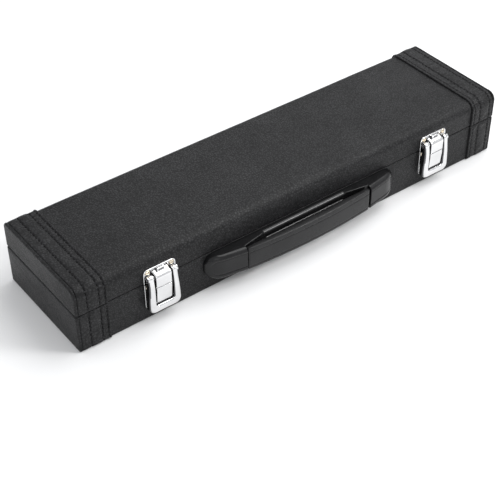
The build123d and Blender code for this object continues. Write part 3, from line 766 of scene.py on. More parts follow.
def lined(X, Y, under=False):
    z = np.full(X.shape, Z_TOP - (1.0 if under else 0.0))
    for k in range(3):
        d = pocket_distance(X, Y, k, 1.0 if under else 0.0)
        floor = Z_FLOOR - (1.0 if under else 0.0)
        top = Z_TOP - (1.0 if under else 0.0)
        r1, r2, slope = 2.4, 3.2, 1.9
        # rounded shoulder outside the outline, a steep wall, then a rounded floor
        sh = np.where(d < r1, r1 - np.sqrt(np.clip(r1**2 - (r1 - d) ** 2, 0, None)), 0.0)
        zz = top - np.where(d >= 0, sh, 0)
        inner = smooth(0.0, -slope, d)
        z_edge = top - r1
        wall = z_edge + (floor + 1.2 - z_edge) * inner
        ff = np.clip((-d - slope) / r2, 0, 1)
        wall = np.where(-d > slope, floor + 1.2 * (1 - ff) ** 2, wall)
        zz = np.where(d < 0, wall, zz)
        z = np.minimum(z, zz)
    if not under:
        deep = smooth(20.0, 10.0, z)
        z = z + (0.28 * fbm(X / 26.0, Y / 16.0, 8.0) + 0.16 * perlin(X / 6.0, Y / 5.0, 2.0)) * (1 - 0.4 * deep)
        # a thumb dimple between the two rows of pockets
        q = np.sqrt(((X - 92) / 8.5) ** 2 + ((Y + 2.5) / 2.8) ** 2)
        z = z - 0.62 * np.exp(-q ** 3) + 0.5 * np.exp(-((q - 1.45) / 0.3) ** 2)
    # the strip up the inner walls
    wall_d = np.minimum(201.0 - np.abs(X), 45.0 - np.abs(Y))
    up = np.clip(1 - (wall_d - 0.15) / 1.15, 0, 1)
    if under:
        return np.minimum(z, Z_TOP - 1.0)
    return z + (33.05 - Z_TOP) * smooth(0.0, 1.0, up ** 0.8)


def lines(lo, hi, edges, fine, reach, coarse):
    pts = {lo, hi}
    at = lo
    out = [lo]
    while at < hi - 1e-6:
        d = min([abs(at - e) for e in edges])
        st = fine if d < reach else min(coarse, fine + (d - reach) * 0.5)
        at = min(hi, at + max(st, fine))
        out.append(at)
    return np.array(out)


gx = lines(-201.0, 201.0, [-201, -187, -186, -48, -6, 186, 190, 201], 0.42, 3.2, 1.7)
gy = lines(-45.0, 45.0, [-45, -39, -10, 5, 39, 45], 0.34, 3.4, 1.2)
X, Y = np.meshgrid(gx, gy, indexing="ij")
Zt = lined(X, Y)
Zu = np.minimum(lined(X, Y, True), Zt - 0.35)
v, f = closed_grid(np.stack([X, Y, Zt], -1), np.stack([X, Y, Zu], -1))
base_plush = make("base_plush_lining", v, f, M_PLUSH, "base", "plush", ["base_lining"])
# painted light low on the far wall and on the floor of each pocket, with an uneven edge, where those faces catch the
# light; elsewhere the lining stays dark
nap_and_painted_light = np.zeros_like(Zt)
for k in range(3):
    wave = 4.2 * perlin(X / 24.0, Y / 15.0, 3.0 + k) + 1.8 * perlin(X / 8.0, Y / 6.0, 8.0)
    low_part = smooth(21.5, 16.0, Zt + 0.8 * wave) * smooth(0.5, 4.0, -pocket_distance(X, Y, k) + 2.5)
    nap_and_painted_light = np.maximum(nap_and_painted_light, low_part * smooth(4.0, 15.0, Y - POCKETS[k][2] + wave) * (0.8 + 0.5 * fbm(X / 60.0, Y / 20.0, 4.0)))
# a painted highlight round the rim of the thumb dimple
q = np.sqrt(((X - 92) / 8.5) ** 2 + ((Y + 2.5) / 2.8) ** 2)
nap_and_painted_light = np.maximum(nap_and_painted_light, 0.6 * np.exp(-((q - 1.45) / 0.34) ** 2) * (Zt > 25))
point_values(base_plush, "nap_and_painted_light", np.clip(nap_and_painted_light, 0, 1), 0.0)

# ------------------------------------------------------------------ plush strips on the lid's walls
def wall_strip():
    cor = [(0, -44.95), (200.95, -44.95), (200.95, 44.95), (-200.95, 44.95), (-200.95, -44.95), (0, -44.95)]
    P, N, s = rpath(cor, [0, 1.2, 1.2, 1.2, 1.2, 0], step=2.0, arc=0.5)
    P, s = P[:-1], s[:-1]
    c = np.array([0.0, 0.0])
    rings = []
    inward = -np.sign(P) * 0
    d = np.gradient(np.concatenate([P[-1:], P, P[:1]]), axis=0)[1:-1]
    d /= np.linalg.norm(d, axis=1)[:, None]
    n = np.stack([-d[:, 1], d[:, 0]], -1)              # points inward for this way round
    prof = [(0.0, 35.0), (0.35, 34.92), (0.75, 35.15), (0.98, 35.8), (1.0, 38.0), (1.0, 41.0), (1.0, 44.0), (1.0, 47.0), (1.0, 50.0), (1.0, 51.9), (0.0, 51.9)]
    for i, (a, z) in enumerate(prof):
        w = 0.16 * perlin(s / 9.0, np.full(len(s), z / 6.0), 1.0) if 3 <= i <= 8 else 0 * s
        rings.append(np.stack([P[:, 0] + n[:, 0] * (a + w), P[:, 1] + n[:, 1] * (a + w), np.full(len(s), z)], -1))
    R = np.array(rings)
    nu, nv = R.shape[:2]
    return R.reshape(-1, 3), quads(nu, nv, wu=True, wv=True)


v, f = wall_strip()
walls = make("lid_plush_walls", v, f, M_PAD, "lid", "plush", ["lid_lining"])
point_values(walls, "nap_and_painted_light", 0.42 + 0.3 * perlin(v[:, 0] / 22.0, v[:, 1] / 22.0 + v[:, 2] / 9.0, 2.0))

# ------------------------------------------------------------------ plush across the hinge line, inside
zz = np.linspace(27.2, 46.6, 97)
xs = np.linspace(-197.6, 197.6, 150)
X, Zg = np.meshgrid(xs, zz, indexing="ij")
full = smooth(0, 2.2, np.minimum(Zg - 27.2, 46.6 - Zg)) * smooth(0, 1.5, 197.6 - np.abs(X))
Yi = 43.85 - 0.45 * full - 0.22 * full * perlin(X / 12.0, Zg / 3.0, 5.0) - 0.1 * full * perlin(X / 4.0, Zg / 1.5, 8.0)
v, f = closed_grid(np.stack([X, Yi, Zg], -1), np.stack([X, 0 * X + 43.95, Zg], -1))
hinge_cloth = make("inner_hinge_cloth", v, f, M_PAD, None, "plush")
point_values(hinge_cloth, "nap_and_painted_light", np.clip(0.5 + 0.5 * perlin(X / 26.0, Zg / 9.0, 7.0) + 0.25 * perlin(X / 7.0, Zg / 4.0, 1.0), 0, 1))
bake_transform(hinge_cloth)


# ------------------------------------------------------------------ the lid's pad: loose plush over a soft panel
def loose_cloth():
    """The plush is cut larger than its panel, so held at its edge it buckles into folds, most at the left end."""
    nx, ny = 133, 30
    hx, hy = 196.0, 41.0
    xs, ys = np.linspace(-hx, hx, nx), np.linspace(-hy, hy, ny)
    X, Y = np.meshgrid(xs, ys, indexing="ij")
    me = bpy.data.meshes.new("loose")
    bend = 10.0 * fbm(X / 70.0, Y / 50.0, 5.0)
    z0 = 0.9 * np.sin((X + 0.95 * Y + bend) / 6.4) * smooth(70, -80, X) + 0.5 * np.sin((X - 0.55 * Y + 1.6 * bend) / 8.7 + 1) + 0.8 * fbm((X + Y) / 24.0, (Y - X) / 50.0, 6.0)
    v, f = np.stack([X, Y, z0], -1).reshape(-1, 3), quads(nx, ny)
    me.from_pydata((v * MM).tolist(), [], f.tolist())
    ob = bpy.data.objects.new("loose", me)
    scene.collection.objects.link(ob)
    grow = ob.vertex_groups.new(name="grow")
    for i, w in enumerate(smooth(70, -170, X).ravel()):
        grow.add([i], float(w), "REPLACE")
    pin = ob.vertex_groups.new(name="pin")
    border = np.zeros((nx, ny), bool)
    border[[0, -1], :] = True
    border[:, [0, -1]] = True
    # a few tacks hold the cloth down inside
    for tx, ty in ((-128, 12), (-96, -22), (-38, 6), (22, -14), (74, 16), (128, -6), (160, 20)):
        border[np.argmin(abs(xs - tx)), np.argmin(abs(ys - ty))] = True
    pin.add([int(i) for i in np.nonzero(border.ravel())[0]], 1.0, "REPLACE")
    m = ob.modifiers.new("cloth", "CLOTH")
    c = m.settings
    c.quality = 6
    c.mass = 0.25
    c.tension_stiffness = c.compression_stiffness = 15
    c.shear_stiffness = 5
    c.bending_stiffness = 0.5
    c.tension_damping = c.compression_damping = 5
    c.shear_damping = 5
    c.bending_damping = 0.5
    c.air_damping = 2
    c.vertex_group_mass = "pin"
    c.vertex_group_shrink = "grow"
    c.shrink_min, c.shrink_max = -0.02, -0.10
    c.effector_weights.gravity = 0.0
    m.point_cache.frame_start, m.point_cache.frame_end = 1, 26
    scene.frame_start, scene.frame_end = 1, 26
    for fr in range(1, 27):
        scene.frame_set(fr)
    e = ob.evaluated_get(bpy.context.evaluated_depsgraph_get())
    co = np.zeros(nx * ny * 3, np.float32)
    e.data.vertices.foreach_get("co", co)
    co = co.reshape(nx, ny, 3).astype(float) / MM
    scene.frame_set(1)
    bpy.data.objects.remove(ob)
    bpy.data.meshes.remove(me)
    return xs, ys, co[..., 2]


def resample(xs, ys, Z, X, Y):
    """Smooth (cubic) values of a grid at other points."""
    def weights(g, t):
        u = np.clip((t - g[0]) / (g[1] - g[0]), 0, len(g) - 1.001)
        i = np.floor(u).astype(int)
        w = u - i
        return i, w
    i, a = weights(xs, X)
    j, b = weights(ys, Y)
    nx, ny = Z.shape

    def cub(p0, p1, p2, p3, t):
        return p1 + 0.5 * t * (p2 - p0 + t * (2 * p0 - 5 * p1 + 4 * p2 - p3 + t * (3 * (p1 - p2) + p3 - p0)))
    rows = []
    for di in (-1, 0, 1, 2):
        ii = np.clip(i + di, 0, nx - 1)
        rows.append(cub(*[Z[ii, np.clip(j + dj, 0, ny - 1)] for dj in (-1, 0, 1, 2)], b))
    return cub(*rows, a)


xs0, ys0, Zs = loose_cloth()
for _ in range(3):
    # the pile is thick, so it rounds every crease
    Zp = np.pad(Zs, 1, mode="edge")
    Zs = 0.5 * Zs + 0.125 * (Zp[2:, 1:-1] + Zp[:-2, 1:-1] + Zp[1:-1, 2:] + Zp[1:-1, :-2])
fold = Zs - np.median(Zs)
print("pad folds, mm:", round(float(fold.min()), 2), round(float(fold.max()), 2))
PX, PY = 199.4, 43.5
xs = np.concatenate([[-PX, -PX + 0.15, -PX + 0.6], np.linspace(-PX + 1.4, PX - 1.4, 340), [PX - 0.6, PX - 0.15, PX]])
ys = np.concatenate([[-PY, -PY + 0.15, -PY + 0.6], np.linspace(-PY + 1.4, PY - 1.4, 84), [PY - 0.6, PY - 0.15, PY]])
X, Y = np.meshgrid(xs, ys, indexing="ij")
g = resample(xs0, ys0, fold, X, Y)
edge = np.minimum(PX - np.abs(X), PY - np.abs(Y))
g = 5.4 * np.tanh((1.25 * g + 0.5) / 4.4)
g = np.where(g < 0, 2.0 * np.tanh(g / 2.0), g)
g = g * smooth(0.0, 4.0, edge)
round_off = 2.6 * np.clip(1 - edge / 3.2, 0, 1) ** 2
Zf = 47.0 - g + round_off - 0.25 * perlin(X / 5.0, Y / 5.0, 4.0) * smooth(0, 2, edge)
Zf = np.minimum(Zf, 50.6)
v, f = closed_grid(np.stack([X, Y, Zf], -1), np.stack([X, Y, 0 * Zf + 51.7], -1))
lid_pad = make("lid_plush_pad", v, f, M_PAD, "lid", "plush", ["lid_pad"])
# painted sheen on the flanks of the folds that lean one way, painted shade in the creases and on the other flanks
gx_, gy_ = np.gradient(g, xs, axis=0), np.gradient(g, ys, axis=1)
hollow = np.gradient(gx_, xs, axis=0) + np.gradient(gy_, ys, axis=1)
nap_and_painted_light = 0.55 * np.tanh(2.9 * (0.75 * gx_ + 0.66 * gy_)) - 0.34 * np.tanh(2.4 * hollow) + 0.3 * fbm((X + 0.6 * Y) / 34.0, (Y - 0.4 * X) / 26.0, 9.0)
nap_and_painted_light = 0.40 + nap_and_painted_light * (0.55 + 0.6 * smooth(120, -90, X))
point_values(lid_pad, "nap_and_painted_light", np.clip(nap_and_painted_light, 0, 1))


# ------------------------------------------------------------------ ribbon
def catmull(pts, n):
    pts = np.array(pts, float)
    p = np.concatenate([2 * pts[:1] - pts[1:2], pts, 2 * pts[-1:] - pts[-2:-1]])
    out = []
    for i in range(1, len(p) - 2):
        for k in range(n):
            t = k / n
            p0, p1, p2, p3 = p[i - 1:i + 3]
            out.append(p1 + 0.5 * t * (p2 - p0 + t * (2 * p0 - 5 * p1 + 4 * p2 - p3 + t * (3 * (p1 - p2) + p3 - p0))))
    out.append(p[-2])
    return np.array(out)


R = catmull([(176.0, 44.5, 27.6), (170.0, 38.8, 27.9), (162.0, 33.6, 28.1), (151.0, 29.5, 24.2), (137.0, 25.5, 14.6), (121.0, 21.0, 9.8), (106.0, 18.2, 9.0), (92.0, 16.0, 8.9)], 12)
T = np.gradient(R, axis=0)
T /= np.linalg.norm(T, axis=1)[:, None]
S = np.cross(np.array([0, 0, 1.0]), T)
S /= np.linalg.norm(S, axis=1)[:, None]
Nn = np.cross(T, S)
tw = 0.16 * np.sin(np.linspace(0, 3.6, len(R)))
S2 = S * np.cos(tw)[:, None] + Nn * np.sin(tw)[:, None]
N2 = np.cross(T, S2)
w = np.linspace(-5.4, 5.4, 13)
cup = 0.22 * (w / 5.4) ** 2 + 0.07 * (np.abs(w) > 4.9)
top = R[:, None, :] + S2[:, None, :] * w[None, :, None] + N2[:, None, :] * (cup[None, :, None] + 0.25)
bot = R[:, None, :] + S2[:, None, :] * w[None, :, None] + N2[:, None, :] * (cup[None, :, None] - 0.2)


def tuck(q):
    """Past the trough's rear edge the ribbon goes down into the plush, in a line along the edge."""
    q = q.copy()
    past = np.maximum(q[..., 1] - 40.2, 0.0)
    q[..., 1] -= 0.2 * past
    q[..., 2] -= 1.2 * past
    return q


top, bot = tuck(top), tuck(bot)
v, f = closed_grid(top, bot)
rib = make("ribbon", v, f, M_RIBBON, "base", "ribbon", ["ribbon_pull"], sharp=60)
rib_len = float(np.linalg.norm(np.diff(tuck(R), axis=0), axis=1).sum())
print("ribbon length, mm:", round(rib_len, 1))


# ------------------------------------------------------------------ grip
def arc3(a, b, c):
    """The circle through three (x, p) points, as a function p(x)."""
    (x1, y1), (x2, y2), (x3, y3) = a, b, c
    d = 2 * (x1 * (y2 - y3) + x2 * (y3 - y1) + x3 * (y1 - y2))
    ux = ((x1**2 + y1**2) * (y2 - y3) + (x2**2 + y2**2) * (y3 - y1) + (x3**2 + y3**2) * (y1 - y2)) / d
    uy = ((x1**2 + y1**2) * (x3 - x2) + (x2**2 + y2**2) * (x1 - x3) + (x3**2 + y3**2) * (x2 - x1)) / d
    r = math.hypot(x1 - ux, y1 - uy)
    return lambda x: uy + np.sqrt(r * r - (np.asarray(x, float) - ux) ** 2)


p_out = arc3((-61, 13.6), (0, 17.0), (61, 13.6))
p_in = arc3((61, 9.6), (0, 10.2), (-61, 9.6))
GZ0, GZ1 = 13.0, 33.0


def grip_section(x, full=1.0):
    """The strap's section at x from the handle's middle, as (p, z) points."""
    po, pi = float(p_out(x)), float(p_in(x))
    zt, zb = GZ1, GZ0
    pts = []
    r = 0.6
    # outer face from the bottom up, slightly crowned, with two fine grooves
    for z in np.concatenate([np.linspace(zb + r, 15.0, 4), [15.25, 15.5, 15.75], np.linspace(16.2, 28.2, 13), [28.75, 29.0, 29.25], np.linspace(29.7, zt - r, 5)]):
        c = 0.35 * ((z - 23) / 10) ** 2
        gr = 0.28 * math.exp(-((z - 15.5) / 0.22) ** 2) + 0.30 * math.exp(-((z - 29.0) / 0.22) ** 2)
        pts.append((po - c - gr, z))
    c = 0.35 * ((zt - r - 23) / 10) ** 2
    for a in (22, 45, 67, 90):
        a = math.radians(a)
        pts.append((po - c - r + r * math.cos(a), zt - r + r * math.sin(a)))
    for t in (0.3, 0.6):
        pts.append((po - c - r + (pi + 1.2 - po + c + r) * t, zt))
    for a in (90, 112, 135, 158, 180):
        a = math.radians(a)
        pts.append((pi + 1.2 + 1.2 * math.cos(a), zt - 1.2 + 1.2 * math.sin(a)))
    # inner face down, with finger bumps
    ripple = 0.5 - 0.5 * math.cos(2 * math.pi * (x + 32.5) / 13.0)
    amp = 1.7 * float(smooth(34.0, 31.0, abs(x))) * ripple
    for z in np.linspace(zt - 1.8, zb + 1.8, 13):
        k = max(0.0, 1 - ((z - 23) / 8.6) ** 2) ** 0.6
        pts.append((pi - amp * k, z))
    for a in (180, 202, 225, 248, 270):
        a = math.radians(a)
        pts.append((pi + 1.2 + 1.2 * math.cos(a), zb + 1.2 + 1.2 * math.sin(a)))
    c = 0.35 * ((zb + r - 23) / 10) ** 2
    for t in (0.4, 0.7):
        pts.append((pi + 1.2 + (po - c - r - pi - 1.2) * t, zb))
    for a in (270, 293, 315, 338):
        a = math.radians(a)
        pts.append((po - c - r + r * math.cos(a), zb + r + r * math.sin(a)))
    P = np.array(pts)
    if full < 1.0:
        c0 = np.array([(po + pi) / 2, 23.0])
        inset = 1.0 - full
        P = c0 + (P - c0) * np.array([1 - inset / ((po - pi) / 2), 1 - inset / 10.0])
    return P


def grip_half(x0, x1, end, soup):
    """The strap from the middle, x0, to its end, x1, which has a softened edge."""
    s = 1 if x1 > x0 else -1
    n = int(abs(x1 - x0) / 0.8)
    xs = [x0 + s * 0.0] + list(np.linspace(x0, x1 - s * 1.0, n)[1:])
    rings = [np.array([(XH + x, F - p, z) for p, z in grip_section(x)]) for x in xs]
    for dx, full in ((0.55, 0.87), (0.85, 0.62), (1.0, 0.2)):
        rings.append(np.array([(XH + x1 - s * 1.0 + s * dx, F - p, z) for p, z in grip_section(x1, full)]))
    # a flat cap closes the middle, out of sight
    soup.add(*loft(rings))


def neck(x0, x1, soup, p0=6.55, p1=9.45, z0=17.0, z1=29.0, r=1.0, knuckle=True):
    """A flat tongue from x0 to x1 with rounded edges, ending round its pivot at x1."""
    sec = []
    for cx, cz, a0 in ((p1 - r, z1 - r, 0), (p0 + r, z1 - r, 90), (p0 + r, z0 + r, 180), (p1 - r, z0 + r, 270)):
        for a in (0, 30, 60, 90):
            t = math.radians(a0 + a)
            sec.append((cx + r * math.cos(t), cz + r * math.sin(t)))
    sec = np.array(sec)
    pc = (p0 + p1) / 2
    rings = []
    h = (p1 - p0) / 2
    s = 1 if x1 > x0 else -1
    xs = list(np.linspace(x0, x1, 12))
    for x in xs:
        rings.append(np.array([(XH + x, F - p, z) for p, z in sec]))
    if knuckle:
        for a in (20, 40, 60, 75, 86):
            a = math.radians(a)
            k = math.cos(a)
            rings.append(np.array([(XH + x1 + s * h * math.sin(a), F - (pc + (p - pc) * k), 23 + (z - 23) * (1 - 0.02 * math.sin(a))) for p, z in sec]))
    soup.add(*loft(rings))


right = Soup()
grip_half(0.0, 58.75, None, right)
neck(49.5, 63.9, right)
g_right = right.make("grip_strap_right", M_GRIP, None, "grip_plastic", ["grip_right"], sharp=50)
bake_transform(g_right)
left = Soup()
grip_half(0.0, -60.6, None, left)
g_left = left.make("grip_strap_left", M_GRIP, None, "grip_plastic", ["grip_left", "grip_mid"], sharp=50)
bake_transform(g_left)
tongue = Soup()
neck(-49.5, -76.2, tongue, knuckle=False)
g_neck = tongue.make("grip_neck_left", M_GRIP, None, "grip_plastic", ["grip_tongue"], sharp=50)
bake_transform(g_neck)

# ------------------------------------------------------------------ handle plate
def cut_mesh(verts, faces, boxes):
    """Take boxes, in mm, out of a closed mesh."""
    body = make("cut_body", verts, faces, M_PLASTIC)
    tools = []
    for x0, x1, y0, y1, z0, z1 in boxes:
        v = [(x, y, z) for x in (x0, x1) for y in (y0, y1) for z in (z0, z1)]
        tool = make("cut_tool", v, [[0, 1, 3, 2], [4, 6, 7, 5], [0, 4, 5, 1], [2, 3, 7, 6], [0, 2, 6, 4], [1, 5, 7, 3]], M_PLASTIC)
        m = body.modifiers.new("cut", "BOOLEAN")
        m.operation, m.solver, m.object = "DIFFERENCE", "EXACT", tool
        tools.append(tool)
    bpy.context.view_layer.update()
    me = bpy.data.meshes.new_from_object(body.evaluated_get(bpy.context.evaluated_depsgraph_get()))
    v = [tuple(c / MM for c in q.co) for q in me.vertices]
    f = [list(q.vertices) for q in me.polygons]
    print("cut:", len(faces), "->", len(f), "faces")
    for o in [body] + tools:
        d = o.data
        bpy.data.objects.remove(o)
        bpy.data.meshes.remove(d)
    bpy.data.meshes.remove(me)
    return v, f


def plate_front(ax):
    """How far the handle's plate stands out, at ax from its middle."""
    p = float(np.interp(ax, [0, 40, 60.95, 61.0, 61.35, 82.0, 93.3], [5.25, 5.25, 9.0, 13.0, 13.45, 9.9, 7.95]))
    if ax > 78:
        p *= max(0.0, 1 - ((ax - 78) / 15.3) ** 2.4) ** 0.6
    return max(p, 0.12)


def plate_section(x):
    ax = abs(x)
    p = plate_front(ax)
    k = min(9.4, max(0.0, ax - 83.9))
    hh = 1.15 + math.sqrt(9.4**2 - k * k)
    zt, zb = 23.05 + hh, 23.05 - hh
    if ax > 60.97:
        rt, rb = 3.9, 2.2
    else:
        rt, rb = float(np.interp(ax, [0, 39.6, 41.2, 61], [3.1, 3.1, 0.55, 0.55])), 1.0
    rt, rb = min(rt, 0.6 * p, 0.8 * hh), min(rb, 0.3 * p, 0.8 * hh)
    pts = [((p - rb) * w, zb) for w in (0.0, 0.35, 0.7, 1.0)]
    for a in range(-75, 0, 15):
        a = math.radians(a)
        pts.append((p - rb + rb * math.cos(a), zb + rb + rb * math.sin(a)))
    for z in np.linspace(zb + rb, zt - rt, 52):
        q = p
        if ax < 39.0:
            for g in (15.0, 18.2, 21.4, 24.6, 27.8):
                q -= 0.6 * float(smooth(0.75, 0.45, abs(z - g - 0.6))) * float(smooth(39.0, 37.6, ax))
        elif ax > 61.3:
            qx, qz = ax - 83.9, abs(z - 23.05) - 1.15
            d = 9.4 - (math.hypot(max(qx, 0), max(qz, 0)) + min(max(qx, qz), 0))
            q -= min(1.0, p / 6) * (0.42 * math.exp(-((d - 4.0) / 0.42) ** 2) + 0.12 * float(smooth(4.0, 4.8, d)))
        pts.append((q, z))
    for a in range(10, 91, 10):
        a = math.radians(a)
        pts.append((p - rt + rt * math.cos(a), zt - rt + rt * math.sin(a)))
    pts += [((p - rt) * w, zt) for w in (0.7, 0.35, 0.0)]
    pts += [(0.0, zt + (zb - zt) * w) for w in (0.25, 0.5, 0.75)]
    return pts


half_x = np.concatenate([np.arange(0.7, 37.5, 1.2), [37.6, 38.1, 38.6, 39.2, 39.6, 40.0, 40.4, 40.8, 41.2], np.arange(42, 60.5, 1.1),
                         [60.9, 60.95, 61.0, 61.12, 61.35], np.arange(61.8, 92.8, 0.55), [92.95, 93.15, 93.3]])
xs = np.concatenate([-half_x[::-1], [0.0], half_x])
v, f = loft([[(XH + x, F - p, z) for p, z in plate_section(x)] for x in xs])
v, f = cut_mesh(v, f, [
    (XH + 58.0, XH + 65.8, F - 11.4, F - 6.2, 16.6, 29.4), (XH - 77.2, XH - 58.0, F - 9.8, F - 6.2, 16.6, 29.4),
    (XH + 43.0, XH + 60.99, F - 25.0, F - 6.21, 16.61, 29.39), (XH - 60.99, XH - 43.0, F - 25.0, F - 6.21, 16.61, 29.39)])
make("handle_plate", v, f, M_PLASTIC, "base", "handle_plastic", ["handle_base"], sharp=38)


# ------------------------------------------------------------------ latches
def slab(soup, pts, radii, p0, p1, r, x0, rim=0.0):
    """A plate on the front, with its upper edge rounded: pts are (x, z) round it."""
    a, b = np.array(pts[0]), np.array(pts[1])
    mid = tuple((a + b) / 2)
    loop = [mid] + [tuple(q) for q in pts[1:]] + [tuple(pts[0]), mid]
    P, N, s = rpath(loop, [0] + list(radii[1:]) + [radii[0], 0], step=0.8, arc=0.35)
    P, N = P[:-1], N[:-1]
    c = P.mean(axis=0)
    if ((P + N * 0.1 - c) ** 2).sum() < ((P - c) ** 2).sum():
        N = -N
    rings = [(p0, 0.0), (p1 - r, 0.0)]
    rings += [(p1 - r + r * math.sin(math.radians(t)), r * (1 - math.cos(math.radians(t)))) for t in (18, 36, 54, 72, 90)]
    rings += [(p1, r + 0.3)]
    if rim:
        rings += [(p1 - rim * 0.5, r + 0.65), (p1 - rim, r + 1.0)]
    rings += [(p1 - rim, r + 1.3), (p1 - rim, r + 1.5)]
    soup.add(*loft([[(x0 + q[0], F - p, q[1]) for q in P - N * d] for p, d in rings]))


def raised(path, radii, hw, r, floor_p, x0, keep=(0.0, 0.0)):
    """A pressed raised centre: a side profile (p, z) carried across, its two sides rounded over."""
    P, N, s = rpath(path, radii, step=0.7, arc=0.3)
    ease = smooth(-0.01, 1.6, s - keep[0]) * smooth(-0.01, 1.6, s[-1] - keep[1] - s)
    rings = []
    d = np.concatenate([r * (1 - np.cos(np.radians([0, 15, 30, 45, 60, 75, 90]))), [r + 0.4]])
    xs = np.concatenate([-hw + d, np.linspace(-hw + r + 1.2, hw - r - 1.2, 7), (hw - d)[::-1]])
    for x in xs:
        e = hw - abs(x)
        inset = r - math.sqrt(max(r * r - (r - min(e, r)) ** 2, 0.0))
        Q = P + N * (inset * ease)[:, None]
        Q[:, 0] = np.maximum(Q[:, 0], floor_p)
        ring = [(x0 + x, F - q[0], q[1]) for q in Q]
        za, zb = Q[0, 1], Q[-1, 1]
        ring += [(x0 + x, F - floor_p + 0.02, zb + (za - zb) * w) for w in (0.0, 0.33, 0.67, 1.0)]
        rings.append(ring)
    return loft(rings)


def lathe_y(prof, x0, z0, n=28):
    """Rings about a line along Y: prof holds (radius, p)."""
    t = np.arange(n) * 2 * math.pi / n
    return loft([[(x0 + r * math.cos(a), F - p, z0 + r * math.sin(a)) for a in t] for r, p in prof])


def lathe_x(prof, y0, z0, n=24):
    t = np.arange(n) * 2 * math.pi / n
    return loft([[(x, y0 + r * math.cos(a), z0 + r * math.sin(a)) for a in t] for r, x in prof])


def eyelet(soup, x, z, p0):
    soup.add(*lathe_y([(0.03, p0 - 0.35), (0.42, p0 - 0.35), (0.58, p0 - 0.2), (0.75, p0 + 0.2), (0.95, p0 + 0.55), (1.25, p0 + 0.74), (1.55, p0 + 0.72),
                       (1.85, p0 + 0.52), (2.08, p0 + 0.22), (2.2, p0 - 0.02), (1.2, p0 - 0.06), (1.2, -3.9), (0.03, -3.9)], x, z))


def hasp(x0):
    """The pressed ring: a U of bar, full in front and hollow behind, its two ends curled round the pin."""
    u = []
    for z in np.linspace(0, 1, 40)[:-1]:
        zi, zo = 40 + (17.0 - 40) * z, 40 + (13.7 - 40) * z
        u.append(((-7.75, zi), (-float(np.interp(zo, [13.7, 17, 20, 26, 30, 34, 38, 40], [13.75, 13.75, 13.68, 13.28, 12.95, 12.72, 12.78, 12.95])), zo)))
    for a in np.linspace(180, 270, 14)[:-1]:
        c, s = math.cos(math.radians(a)), math.sin(math.radians(a))
        u.append(((-5.75 + 2 * c, 17 + 2 * s), (-8.55 + 5.2 * c, 13.7 + 5.2 * s)))
    for w in np.linspace(0, 0.5, 9):
        u.append(((-5.75 + 11.5 * w, 15.0), (-8.55 + 17.1 * w, 8.5)))
    u = u + [((-i[0], i[1]), (-o[0], o[1])) for i, o in u[-2::-1]]
    rings, n = [], len(u)
    ro, ri = 2.5, 1.7
    for k, (I, O) in enumerate(u):
        I, O = np.array(I), np.array(O)
        W = np.linalg.norm(O - I)
        zi = min(I[1], 40)
        bar = float(smooth(0, 1, (O[0] + 12) / 4 if O[0] < 0 else (12 - O[0]) / 4)) if O[1] < 14 else 0.0
        back = 2.4 + bar * 2.7 + 1.3 * float(smooth(33, 40, zi))
        ring = []
        ts = np.concatenate([0.5 - 0.5 * np.cos(np.linspace(0, math.pi, 19))])
        for t in ts:
            q = I + (O - I) * t
            pf = float(np.interp(q[1], [5, 28, 31, 34, 37, 40], [7.5, 7.5, 7.38, 7.1, 6.72, 6.3]))
            di, do = t * W, (1 - t) * W
            h = 0.0
            if di < ri:
                h = max(h, ri - math.sqrt(max(ri**2 - (ri - di) ** 2, 0)))
            if do < ro:
                h = max(h, (ro - math.sqrt(max(ro**2 - (ro - do) ** 2, 0))) * 0.85)
            ring.append((q[0], pf - h, q[1]))
        ring = [(I[0], back, I[1])] + ring + [(O[0], back, O[1])]
        # the hollow behind, with the metal's own edge standing round it
        for t in (0.86, 0.84, 0.5, 0.16, 0.14):
            q = I + (O - I) * t
            deep = back + (0.0 if t in (0.86, 0.14) else 0.6)
            ring.append((q[0], min(deep, 4.9 if bar < 0.5 else back + 0.4), q[1]))
        rings.append(np.array(ring))
    def curl(r, a):
        q = r[:, 1] - 3.6
        q = np.maximum(q, 0.12)
        a = math.radians(a)
        return np.stack([r[:, 0], 3.6 + q * math.cos(a), 40 + q * math.sin(a)], -1)
    first = [curl(rings[0], a) for a in (140, 118, 96, 74, 54, 36, 20, 8)]
    last = [curl(rings[-1], a) for a in (8, 20, 36, 54, 74, 96, 118, 140)]
    rings = first + rings + last
    soup = Soup()
    soup.add(*loft([[(x0 + x, F - p, z) for x, p, z in r] for r in rings]))
    for s in (-1, 1):
        soup.add(*lathe_x([(0.6, x0 + s * 7.85), (2.0, x0 + s * 7.85), (2.4, x0 + s * 8.15), (2.4, x0 + s * 12.6), (2.0, x0 + s * 12.95), (0.6, x0 + s * 12.95)], F - 3.6, 40.0))
    return soup


